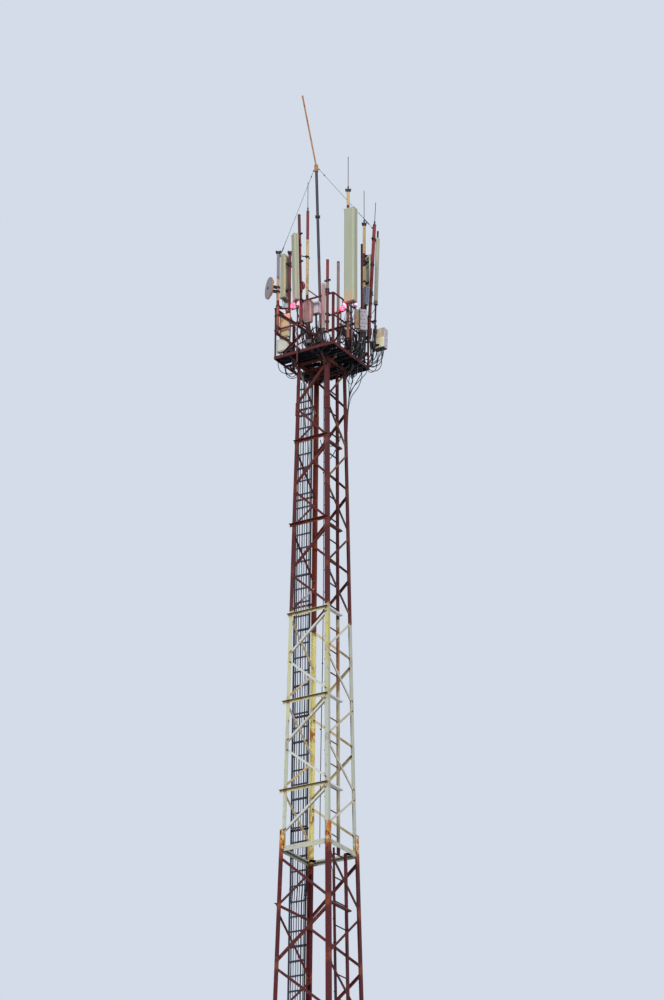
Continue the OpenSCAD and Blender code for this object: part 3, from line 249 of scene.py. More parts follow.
    "crimson_rib": coat("#6E1424", 0.45, ("#3A0E18", 0.03, 0.5, 0.66, 1, 0.6)),
    # Black sheets on the deck: seen from below through its slots, they are painted shade.
    "slot_shade_sheet": coat("#131216", 0.8, ("#26242A", 0.05, 0.5, 0.66, 1, 0.5)),
    "black_junction_box": coat("#1B1A20", 0.5, ("#3A343A", 0.04, 0.5, 0.66, 1, 0.6)),
    # Powder coat on aluminium castings: a satin skin with streaks below the bolts.
    "powder_coated_casting": coat("#BDB3A2", 0.5, ("#8C8074", 0.12, 0.52, 0.65, 2.5, 0.55),
                                  ("#A9784E", 0.05, 0.62, 0.70, 2, 0.5), grain=0.003,
                                  zones=(("#C9BE96", 30.3, 30.42, 0.5),)),
    "flat_unit_cover": coat("#BDB082", 0.5, ("#8A846A", 0.06, 0.56, 0.68, 2, 0.5),
                            zones=(("#C6C9B8", 30.0, 30.42, 1.0),)),
    # The finned unit's lilac and red-brown are painted much lighter than they are: painted light that lifts
    # the shade between the fins and over the unit.
    "lilac_powder_coat": coat("#DAC6CA", 0.5, ("#96686C", 0.05, 0.5, 0.64, 3, 0.6)),
    "red_brown_fin": coat("#D0A8A4", 0.55, ("#7A4A4C", 0.04, 0.5, 0.62, 3, 0.5)),
    # The right-hand unit's cream and beige are painted near white: painted light that lifts the shadow
    # falling on the unit.
    "cream_cover": coat("#F2ECC4", 0.5, ("#A9A080", 0.06, 0.52, 0.66, 2, 0.5)),
    "beige_cover": coat("#E6D4B0", 0.5, ("#8A7A62", 0.06, 0.5, 0.64, 2, 0.5)),
    "pale_cover": coat("#C4BEC4", 0.5, ("#8A8690", 0.05, 0.5, 0.66, 2, 0.5)),
    "slate_cover": coat("#7C8290", 0.5, ("#4E525E", 0.05, 0.5, 0.64, 2, 0.5)),
    "tan_filter_box": coat("#B39C7A", 0.55, ("#7A5238", 0.05, 0.5, 0.64, 2, 0.6)),
    "radio_black": coat("#141318", 0.5, ("#2E2A30", 0.03, 0.5, 0.64, 1, 0.5)),
    "white_lamp_enamel": coat("#CFCDD0", 0.4, ("#9A98A0", 0.04, 0.5, 0.7, 2, 0.4)),
    # Moulded polycarbonate with the lamp burning behind it.
    "lit_red_polycarbonate": coat("#FF5272", 0.25, bump=0, ior=1.58, lit=1.0),
    # The lilac lens rings glow as lit lamps, and the glow is also painted light that lifts the shadow on the
    # white cylinders.
    "lit_lilac_lens": coat("#FFB4D8", 0.25, bump=0, ior=1.58, lit=0.35),
}


def linear(hex_colour):
    """An sRGB hex colour as linear RGBA."""
    parts = [int(hex_colour[i:i + 2], 16) / 255 for i in (1, 3, 5)]
    return tuple(c / 12.92 if c <= 0.04045 else ((c + 0.055) / 1.055) ** 2.4 for c in parts) + (1.0,)


def tint(colour):
    """A hex colour, or the name of a colour that the user can set, as linear RGBA."""
    if colour.startswith("#"):
        return linear(colour)
    return (*getattr(bpy.context.scene.tower_finish, colour), 1.0)


def wire(tree, node, inputs):
    """Sets a node's inputs; each is a value or a socket to link."""
    for key, value in inputs.items():
        if isinstance(value, bpy.types.NodeSocket):
            tree.links.new(value, node.inputs[key])
        else:
            node.inputs[key].default_value = value
    return node


def add(tree, kind, inputs=None, **settings):
    """Adds a node with its settings and links."""
    node = tree.nodes.new(kind)
    for key, value in settings.items():
        setattr(node, key, value)
    return wire(tree, node, inputs or {})


def output(tree, kind, inputs=None, **settings):
    """Adds a node and gives its first output."""
    return add(tree, kind, inputs, **settings).outputs[0]


def blank_material(name):
    """The material of that name, emptied but for an output and a Principled shader."""
    material = bpy.data.materials.get(name) or bpy.data.materials.new(name)
    material.use_nodes = True
    tree = material.node_tree
    tree.nodes.clear()
    shader = add(tree, "ShaderNodeBsdfPrincipled")
    add(tree, "ShaderNodeOutputMaterial", {"Surface": shader.outputs[0]})
    return material, tree, shader


def patches(tree, size, low, high, stretch=1.0, offset=0.0):
    """A mask of patches about size metres across, drawn out downwards by stretch."""
    coords = add(tree, "ShaderNodeTexCoord").outputs["Object"]
    placing = {"Vector": coords, "Location": (offset, offset * 0.7, offset * 0.3),
               "Scale": (1.0, 1.0, 1.0 / stretch)}
    pattern = output(tree, "ShaderNodeTexNoise", {
        "Vector": output(tree, "ShaderNodeMapping", placing), "Scale": 1.0 / size, "Detail": 4.0,
        "Roughness": 0.62})
    return output(tree, RANGE, {"Value": pattern, "From Min": low, "From Max": high})


def laid(tree, under, over, mask, amount):
    """The colour over laid on the colour under, as far as mask times amount says."""
    share = output(tree, MATH, {0: mask, 1: amount}, operation="MULTIPLY")
    return add(tree, "ShaderNodeMix", {0: share, 6: under, 7: tint(over)}, data_type="RGBA").outputs[2]


def weathered(name, base, roughness, layers=(), metallic=0.0, grain=0.012, bump=0.2, under=None,
              over=None, nodes=None, zones=(), ior=None, lit=0.0):
    """A weathered finish.

    base is a colour, or (height, colour) bands from the ground up. Each layer is (colour, patch size,
    low, high, stretch, amount). under and over are (colour, amount) for faces that look down and up.
    nodes is (colour, first height, pitch, reach, amount) for rust that spreads from the joints of the
    lattice. Each zone is (colour, low height, high height, share covered). lit is a share of the
    lamps' strength."""
    material, tree, shader = blank_material(name)
    coords = add(tree, "ShaderNodeTexCoord").outputs
    height = add(tree, SPLIT, {"Vector": coords["Object"]}).outputs["Z"]
    if isinstance(base, str):
        colour = tint(base)
    else:
        share = output(tree, MATH, {0: height, 1: RAMP_TOP}, operation="DIVIDE")
        ramp = add(tree, "ShaderNodeValToRGB", {"Fac": share})
        stops = ramp.color_ramp.elements
        ramp.color_ramp.interpolation = "CONSTANT"
        while len(stops) < len(base):
            stops.new(1.0)
        for stop, (z, paint) in zip(stops, base):
            stop.position = z / RAMP_TOP
            stop.color = tint(paint)
        colour = ramp.outputs["Color"]
    for index, (paint, low, high, share) in enumerate(zones):
        ragged = output(tree, MATH, {0: patches(tree, 0.09, 0.3, 0.7, 2.0, low), 1: 0.3, 2: height},
                        operation="MULTIPLY_ADD")
        inside = output(tree, MATH, {
            0: output(tree, RANGE, {"Value": ragged, "From Min": low + 0.1, "From Max": low + 0.25}),
            1: output(tree, RANGE, {"Value": ragged, "From Min": high + 0.2, "From Max": high + 0.1}),
        }, operation="MULTIPLY")
        edge = 0.62 - 0.3 * share
        cover = patches(tree, 0.07, edge, edge + 0.06, 2.0, 3.7 * index + 1.1) if share < 1 else 1.0
        colour = laid(tree, colour, paint, inside, cover)
    for index, (paint, size, low, high, stretch, amount) in enumerate(layers):
        colour = laid(tree, colour, paint, patches(tree, size, low, high, stretch, 2.3 * index + 0.9), amount)
    if nodes:
        paint, first, pitch, reach, amount = nodes
        above = output(tree, MATH, {0: height, 1: first}, operation="SUBTRACT")
        apart = output(tree, MATH, {0: above, 1: pitch / 2}, operation="PINGPONG")
        close = output(tree, RANGE, {"Value": apart, "From Min": reach, "From Max": reach * 0.3})
        spread = output(tree, MATH, {0: close, 1: patches(tree, 0.06, 0.4, 0.55, 1.6, 5.1)},
                        operation="MULTIPLY")
        colour = laid(tree, colour, paint, spread, amount)
    for side, start, stop in ((under, -0.3, -0.7), (over, 0.3, 0.7)):
        if side:
            facing = add(tree, SPLIT, {"Vector": coords["Normal"]}).outputs["Z"]
            mask = output(tree, RANGE, {"Value": facing, "From Min": start, "From Max": stop})
            colour = laid(tree, colour, side[0], mask, side[1])
    wire(tree, shader, {"Base Color": colour, "Roughness": roughness, "Metallic": metallic})
    if not metallic:
        # Chalked, porous paint has less sheen than the sound resin of a moulding.
        wire(tree, shader, {"IOR": ior or (1.34 if roughness >= 0.6 else 1.45)})
    if lit:
        wire(tree, shader, {"Emission Color": colour,
                            "Emission Strength": lit * bpy.context.scene.tower_finish.glow})
    if bump:
        grains = output(tree, "ShaderNodeTexNoise", {
            "Vector": coords["Object"], "Scale": 1.0 / grain, "Detail": 3.0})
        wire(tree, shader, {"Normal": output(tree, "ShaderNodeBump", {
            "Height": grains, "Strength": bump, "Distance": 0.002})})
    return material


def dress(mesh, finish):
    """Gives a mesh the material of that name, made afresh from its row of FINISHES."""
    mesh.materials.clear()
    mesh.materials.append(weathered(finish, **FINISHES[finish]))


def finish_nodes(finishes):
    """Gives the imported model's nodes their finishes, from a finish to the names of its nodes."""
    for finish, nodes in finishes.items():
        for node in nodes.split():
            dress(NODES[node].data, finish)


def turn(degrees, axis="Z"):
    """A turn about an axis of the frame."""
    return Matrix.Rotation(math.radians(degrees), 4, axis)


def at(x, y, z):
    return Matrix.Translation((x, y, z))


def raised(z):
    """A shift along the frame's Z."""
    return Matrix.Translation((0, 0, z))


def side_frame(k, z0, half, lean):
    """The leaning frame of side k: X runs along the side and Y inwards."""
    return turn(90 * k) @ at(0, -half, z0) @ Matrix.Rotation(-lean, 4, "X")


def low_side(k):
    return side_frame(k, 0.0, BASE_HALF, LOW_LEAN)


def up_side(k):
    return side_frame(k, JOINT_Z, JOINT_UP_HALF, UP_LEAN)


def corner(k, z0, half, top_half, rise):
    """The leaning frame on the heel line of leg k, its flanges along -X and -Y."""
    lean = math.atan(math.sqrt(2) * (half - top_half) / rise)
    return turn(90 * k) @ at(half, half, z0) @ Matrix.Rotation(lean, 4, Vector((1, -1, 0)).normalized())


def low_corner(k):
    return corner(k, 0.0, BASE_HALF, JOINT_LOW_HALF, JOINT_Z)


def up_corner(k):
    return corner(k, JOINT_Z, JOINT_UP_HALF, HEAD_HALF, PLATFORM_Z - JOINT_Z)


def cage_side(k):
    """The cage plane of side k, with its origin at the platform's underside."""
    return turn(90 * k) @ at(0, -RAIL_IN, PLATFORM_Z)


def pipe_frame(i, z=CAGE_H):
    """The axis of pipe i, z above the platform."""
    pipe = PIPES[i]
    stand = cage_side(pipe.side) @ at(pipe.place, PIPE_Y, CAGE_H)
    return stand @ turn(pipe.lean, "Y") @ raised(z - CAGE_H)


def unit_frame(unit):
    """The bottom of an antenna or radio unit: its face looks along -Y."""
    if unit in POLE_UNITS:
        stand = at(*POLES[unit.holder], POLE_FOOT + unit.bottom)
    else:
        stand = pipe_frame(unit.holder, unit.bottom)
    return stand @ turn(unit.turn) @ at(unit.shift, -unit.gap, 0)


def housing(unit):
    """A unit's frame, width, depth and height."""
    return unit_frame(unit), unit.width, unit.depth, unit.height


def piece(name, bm, finish):
    """Turns a bmesh into a piece with its faces outwards."""
    bmesh.ops.recalc_face_normals(bm, faces=bm.faces)
    mesh = bpy.data.meshes.new(name)
    bm.to_mesh(mesh)
    bm.free()
    placed(name, mesh, finish)


def placed(name, mesh, finish):
    """Puts a mesh into the scene as a piece that rides on the tower."""
    dress(mesh, finish)
    made = bpy.data.objects.new(name, mesh)
    bpy.context.scene.collection.objects.link(made)
    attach(made, "root")


def block(bm, matrix, size, bevel=0.0, segments=1):
    """A box centred on the frame, with its edges eased."""
    made = bmesh.ops.create_cube(bm, size=1.0, matrix=matrix @ Matrix.Diagonal((*size, 1.0)))
    if bevel:
        edges = list({edge for vert in made["verts"] for edge in vert.link_edges})
        bmesh.ops.bevel(bm, geom=edges, offset=bevel, segments=segments, profile=0.5, affect="EDGES",
                        material=-1, clamp_overlap=True)


def stud(bm, matrix, radius, height, segments=10, top=None):
    """A round bar or cone standing on the frame's XY plane, along its +Z."""
    bmesh.ops.create_cone(bm, cap_ends=True, segments=segments, radius1=radius,
                          radius2=radius if top is None else top, depth=height,
                          matrix=matrix @ raised(height / 2))


def hex_head(bm, matrix, width, height):
    """A bolt head or nut standing on the frame's XY plane."""
    stud(bm, matrix, width / 1.732, height, 6, width / 1.85)


def turned(bm, matrix, outline, steps=20, closed=False):
    """Spins an outline of (radius, height) round the frame's Z."""
    verts = [bm.verts.new(matrix @ Vector((r, 0, z))) for r, z in outline]
    edges = [bm.edges.new(pair) for pair in zip(verts, verts[1:])]
    if closed:
        edges.append(bm.edges.new((verts[-1], verts[0])))
    bmesh.ops.spin(bm, geom=verts + edges, cent=matrix.translation,
                   axis=matrix.to_3x3() @ Vector((0, 0, 1)), angle=math.tau, steps=steps, use_merge=True)
    bmesh.ops.remove_doubles(bm, verts=bm.verts[:], dist=0.00002)


def ring(bm, matrix, inner, outer, height, steps=16):
    """A flat collar standing on the frame's XY plane."""
    turned(bm, matrix, ((inner, 0), (outer, 0), (outer, height), (inner, height)), steps, True)


def along(p, q, roll=0.0):
    """The frame at p whose Z runs to q, and the distance between them."""
    line = Vector(q) - Vector(p)
    return at(*p) @ line.to_track_quat("Z", "Y").to_matrix().to_4x4() @ turn(roll), line.length


def angle_bar(bm, p, q, width, thick, roll=0.0):
    """A rolled angle from p to q."""
    matrix, length = along(p, q, roll)
    outline = ((0, 0), (width, 0), (width, thick), (thick, thick), (thick, width), (0, width))
    face = bm.faces.new([bm.verts.new(matrix @ Vector((x, y, 0))) for x, y in outline])
    grown = bmesh.ops.extrude_face_region(bm, geom=[face])["geom"]
    moved = [item for item in grown if isinstance(item, bmesh.types.BMVert)]
    bmesh.ops.translate(bm, verts=moved, vec=matrix.to_3x3() @ Vector((0, 0, length)))


def round_bar(bm, p, q, radius):
    """A round bar from p to q."""
    matrix, length = along(p, q)
    stud(bm, matrix, radius, length, 8)


def outward(side, x, y, w):
    """A frame at (x, y, w) of a side whose Z points out of the side."""
    return side @ at(x, y, w) @ turn(90, "X")


def band(bm, i, z, ears=True):
    """A two-bolt band on pipe i, z above the platform."""
    radius, height = PIPES[i].diameter / 2, 0.04
    stand = pipe_frame(i, z - height / 2)
    ring(bm, stand, radius + 0.0005, radius + 0.009, height, 14)
    for s in (-1, 1) if ears else ():
        bolt = s * (radius + 0.028)
        block(bm, stand @ at(s * (radius + 0.024), 0, height / 2), (0.036, 0.026, height * 0.8), 0.003)
        hex_head(bm, stand @ at(bolt, -0.013, height / 2) @ turn(90, "X"), 0.02, 0.011)
        stud(bm, stand @ at(bolt, 0.013, height / 2) @ turn(-90, "X"), 0.006, 0.024, 8)


def leads(name, routes, radius, finish="matt_black_sheath"):
    """Round cables along smooth routes, made into one mesh."""
    curve = bpy.data.curves.new(name, "CURVE")
    curve.dimensions = "3D"
    curve.bevel_depth = radius
    curve.bevel_resolution = 1
    curve.use_fill_caps = True
    curve.resolution_u = 4
    for route in routes:
        spline = curve.splines.new("NURBS")
        spline.points.add(len(route) - 1)
        for point, place in zip(spline.points, route):
            point.co = (*place, 1.0)
        spline.order_u = 4
        spline.use_endpoint_u = True
    holder = bpy.data.objects.new(name + "_route", curve)
    bpy.context.scene.collection.objects.link(holder)
    depsgraph = bpy.context.evaluated_depsgraph_get()
    mesh = bpy.data.meshes.new_from_object(holder.evaluated_get(depsgraph))
    bpy.data.objects.remove(holder)
    bpy.data.curves.remove(curve)
    mesh.name = name
    for polygon in mesh.polygons:
        polygon.use_smooth = True
    placed(name, mesh, finish)


class TowerFinish(bpy.types.PropertyGroup):
    """Colours of the tower's paints and shells."""

    red: FloatVectorProperty(name="Red bands", description="Chalked brick red of the bands",
                             subtype="COLOR", size=3, default=linear("#50191B")[:3])
    white: FloatVectorProperty(name="White bands", description="Grey-green white of the bands",
                               subtype="COLOR", size=3, default=linear("#B9BCAC")[:3])
    shell: FloatVectorProperty(name="Antenna shells", description="Chalked grey-green of the antennas",
                               subtype="COLOR", size=3, default=linear("#A6AA92")[:3])
    glow: FloatProperty(name="Lamp strength", description="Strength of the red obstruction lamps",
                        default=3.2, min=0.0)


class TowerFittings(bpy.types.PropertyGroup):
    """Sizes of the small fittings."""

    bolt_width: FloatProperty(name="Bolt width", description="Width over a bolt head's flats",
                              default=0.025, unit="LENGTH", min=0.01, max=0.05)
    bolt_height: FloatProperty(name="Bolt height", description="Height of a bolt head",
                               default=0.011, unit="LENGTH", min=0.004, max=0.03)
    fin_count: IntProperty(name="Fins", description="Cooling fins on a radio unit",
                           default=9, min=4, max=40)
    lead_radius: FloatProperty(name="Lead radius", description="Radius of a radio lead",
                               default=0.0065, unit="LENGTH", min=0.002, max=0.02)


class TOWER_OT_steelwork(bpy.types.Operator):
    """Paints the legs, lacing, cross bars, joint frame, ties, platform and cage."""

    bl_idname = "tower.steelwork"
    bl_label = "Paint the Steelwork"

    def execute(self, context):
        finish_nodes({f"banded_paint_upper_leg_{k}": f"upper_leg_{k}" for k in range(4)})
        finish_nodes({
            "banded_paint_with_bare_laps": "lower_leg_0 lower_leg_1 lower_leg_2 lower_leg_3",
            "bare_packer": "lap_packers",
            "banded_lacing_paint": "lower_lacing_front lower_lacing_right",
            "banded_lacing_in_shade": "lower_lacing_back lower_lacing_left",
            "front_lacing_paint": "upper_lacing_front",
            "right_lacing_paint": "upper_lacing_right",
            "left_lacing_paint": "upper_lacing_left",
            "back_lacing_paint": "upper_lacing_back",
            "splice_cover_paint": "leg_covers",
            "cross_bar_paint": "cross_bars",
            "joint_frame_paint": "joint_frame",
            "rack_paint": "cable_rack",
            "red_lead_over_rust": "ladder_ties",
            "rack_tie_paint": "rack_ties",
            "cage_red": "cage_rails cage_posts platform_edge foot_plates",
            "brace_rust": "cage_braces",
            "head_frame_primer": "top_frame",
            "bitumen_black_steel": "platform_bearers deck_planks",
            "hot_dip_zinc": "anchor_frame"})
        return {"FINISHED"}


class TOWER_OT_ladder(bpy.types.Operator):
    """Finishes the ladder and its cables, with their treads, sleeves, cleats and clips."""

    bl_idname = "tower.ladder"
    bl_label = "Finish the Ladder and Cables"

    def execute(self, context):
        finish_nodes({"dark_blue_enamel": "ladder_lower ladder_upper",
                      "polyethylene_sheath": "feeder_cables riser_cable jumper_cables"})
        wide = context.scene.tower_fittings.bolt_width * 0.8
        lower, upper = low_corner(1) @ turn(-90), up_corner(1) @ turn(-90)

        # Clamping bars over the feeders, each held by three bolts to the rung behind.
        bm = bmesh.new()
        for base, first, count in ((lower, 0.63, 15), (upper, 0.18, 9)):
            for n in range(count):
                w = first + 4 * RUNG_PITCH * n
                block(bm, base @ at(LADDER_MID, -0.020, w), (0.345, 0.010, 0.030), 0.002)
                for x in (-0.40, LADDER_MID, -0.105):
                    hex_head(bm, base @ at(x, -0.015, w) @ turn(-90, "X"), 0.018, 0.010)
        piece("feeder_cleats", bm, "blackened_cleat")

        # A folded tread over every rung, its lip on the climber's side.
        bm = bmesh.new()
        for base, first, count in ((lower, 0.330, 62), (upper, -0.420, 37)):
            for n in range(count):
                spot = base @ at(LADDER_MID, RUNG_Y, first + RUNG_PITCH * n)
                block(bm, spot @ at(0, -0.0125, 0), (0.356, 0.005, 0.036))
                block(bm, spot @ at(0, -0.002, 0.0135), (0.356, 0.018, 0.005))
        piece("rung_treads", bm, "dark_blue_enamel")

        # Bolted sleeves over the rails where the two ladders meet.
        bm = bmesh.new()
        for x in (-0.071, -0.434):
            matrix, length = along(lower @ Vector((x, -0.030, 18.62)), upper @ Vector((x, -0.030, -0.41)))
            block(bm, matrix @ raised(length / 2), (0.030, 0.068, length), 0.004)
            for share, s in product((0.15, 0.35, 0.65, 0.85), (-1, 1)):
                hex_head(bm, matrix @ at(s * 0.015, 0, length * share) @ turn(90 * s, "Y"), wide, 0.010)
                hex_head(bm, matrix @ at(0, s * 0.034, length * share) @ turn(-90 * s, "X"), wide, 0.010)
        piece("ladder_splice_plates", bm, "dark_blue_enamel")

        # Clips of the riser cable: it leans with the right side, and above the joint with the front too.
        bm = bmesh.new()
        low_slope, up_slope = math.tan(LOW_LEAN), math.tan(UP_LEAN)
        for foot, first, count, half, slope, y, y_slope in (
                (0.0, 0.9, 37, BASE_HALF, low_slope, -0.203, 0.0),
                (JOINT_Z, 0.48, 20, JOINT_UP_HALF, up_slope, -0.411, up_slope)):
            for n in range(count):
                rise = first + 0.485 * n
                spot = at(half - rise * slope - 0.1485, y + rise * y_slope, foot + rise)
                block(bm, spot, (0.026, 0.030, 0.024), 0.003)
        piece("riser_clips", bm, "blackened_cleat")
        return {"FINISHED"}


class TOWER_OT_head(bpy.types.Operator):
    """Finishes the mast, pipes, antennas, radio units, dish and their brackets."""

    bl_idname = "tower.head"
    bl_label = "Finish the Head"

    def execute(self, context):
        finish_nodes({
            "tarred_tube": "mast",
            "rusted_tube": "mast_tip",
            "weathered_pipe_paint": "antenna_pipes equipment_poles",
            "blackened_zinc": "pipe_clamps antenna_brackets radio_brackets dish_mount lamp_brackets "
                              "mast_stays",
            "chalked_glass_fibre": "big_antenna",
            "chalked_panel_fibre": "panel_antennas",
            "powder_coated_casting": "radio_units",
            "moulded_radome": "dish",
            "crimson_shell": "drum_radio",
            "dark_whip_fibre": "whip_antennas",
            "white_lamp_enamel": "lamp_cylinders",
            "lit_red_polycarbonate": "warning_lamps"})
        return {"FINISHED"}


class TOWER_OT_bolts(bpy.types.Operator):
    """Adds the bolts of the lacing, cross bars, covers, joint frame and feet."""

    bl_idname = "tower.bolts"
    bl_label = "Add the Bolts"

    def execute(self, context):
        sizes = context.scene.tower_fittings
        wide, tall = sizes.bolt_width, sizes.bolt_height
        # Two bolts at each end of each lacing bar, with their nuts inside.
        for name, side_of, half, lean, first, pitch, count, leg, start_side, depth in (
                ("lacing_bolts_lower", low_side, BASE_HALF, LOW_LEAN, LOW_FIRST, LOW_PITCH, LOW_COUNT,
                 LOW_LEG, 1, 0.0173),
                ("lacing_bolts_upper", up_side, JOINT_UP_HALF, UP_LEAN, UP_FIRST, UP_PITCH, UP_COUNT,
                 UP_LEG, -1, 0.0153)):
            bm = bmesh.new()
            for k, n in product(range(4), range(count)):
                side = side_of(k)
                s = start_side * (-1) ** n
                w1, w2 = first + n * pitch + 0.095, first + (n + 1) * pitch - 0.095
                start = Vector((s * (half - w1 * math.sin(lean) - leg / 2), 0, w1))
                end = Vector((-s * (half - w2 * math.sin(lean) - leg / 2), 0, w2))
                run = (end - start).normalized()
                for (place, way), step in product(((start, run), (end, -run)), (0.014, 0.044)):
                    x, _, w = place + way * step
                    hex_head(bm, outward(side, x, 0.0, w), wide, tall)
                    hex_head(bm, side @ at(x, depth, w) @ turn(-90, "X"), wide, 0.014)
            piece(name, bm, "painted_rusty_bolt")

        # The upper cross bars are on the front, the lower ones on the left side.
        bm = bmesh.new()
        bars = [(up_side(0), JOINT_UP_HALF, UP_LEAN, UP_LEG, 0.018,
                 UP_FIRST + n * UP_PITCH + (0.115 if n > UP_COUNT / 2 else 0.0))
                for n in range(1, UP_COUNT, 2)]
        bars += [(low_side(3), BASE_HALF, LOW_LEAN, LOW_LEG, 0.020, LOW_FIRST + n * LOW_PITCH + 0.115)
                 for n in range(2, LOW_COUNT, 2)]
        for side, half, lean, leg, gap, w in bars:
            for s, dx in product((-1, 1), (-gap, gap)):
                x = s * (half - w * math.sin(lean) - leg / 2)
                hex_head(bm, outward(side, x + dx, BAR_FACE, w - 0.036), wide, tall)
        piece("cross_bar_bolts", bm, "painted_rusty_bolt")

        # Rows of bolts on both flanges of the leg covers.
        bm = bmesh.new()
        head_w = UP_FIRST + 9 * UP_PITCH + 0.695
        for k in range(4):
            for base, centre, height, rows, leg in (
                    (low_corner(k), LOW_FIRST + 5 * LOW_PITCH, 0.50, 6, LOW_LEG),
                    (low_corner(k), LOW_FIRST + 11 * LOW_PITCH, 0.50, 6, LOW_LEG),
                    (up_corner(k), head_w + 0.15, 0.30, 4, UP_LEG)):
                for row in range(rows):
                    w = centre - height / 2 + height * (row + 0.5) / rows
                    hex_head(bm, base @ at(-leg / 2, COVER_FACE, w) @ turn(-90, "X"), wide, tall)
                    hex_head(bm, base @ at(COVER_FACE, -leg / 2, w) @ turn(90, "Y"), wide, tall)
        piece("splice_bolts", bm, "painted_rusty_bolt")

        # Bolts of the joint frame's two rings, and a flat corner plate between the rings.
        bm, plates = bmesh.new(), bmesh.new()
        for k in range(4):
            side = turn(90 * k)
            for s in (-1, 1):
                for out, z in ((JOINT_UP_HALF + 0.0075, JOINT_Z + 0.030), (0.5585, JOINT_Z - 0.030)):
                    for step in (0.028, 0.062):
                        hex_head(bm, outward(side, s * (0.535 - step), -out, z), wide, tall)
                block(plates, side @ at(s * 0.415, -0.415, JOINT_Z + 0.0105) @ turn(45), (0.13, 0.13, 0.006),
                      0.001)
            for x in (-0.3, -0.1, 0.1, 0.3):
                hex_head(bm, side @ at(x, -0.505, JOINT_Z + 0.0072), wide * 0.8, tall)
        piece("joint_bolts", bm, "painted_rusty_bolt")
        piece("joint_corner_plates", plates, "corner_plate_rust")

        # Four studs on each foot, with a washer, a nut and a lock nut.
        bm = bmesh.new()
        for x, y, dx, dy in product((-0.94, 0.94), (-0.94, 0.94), (-0.125, 0.125), (-0.125, 0.125)):
            spot = at(x + dx, y + dy, 0.0473)
            ring(bm, spot, 0.0165, 0.030, 0.004)
            stud(bm, spot, 0.0150, 0.085, 12)
            for z, height in ((0.004, 0.024), (0.0285, 0.018)):
                hex_head(bm, spot @ raised(z), 0.046, height)
        piece("anchor_nuts", bm, "zinc_stud")
        return {"FINISHED"}


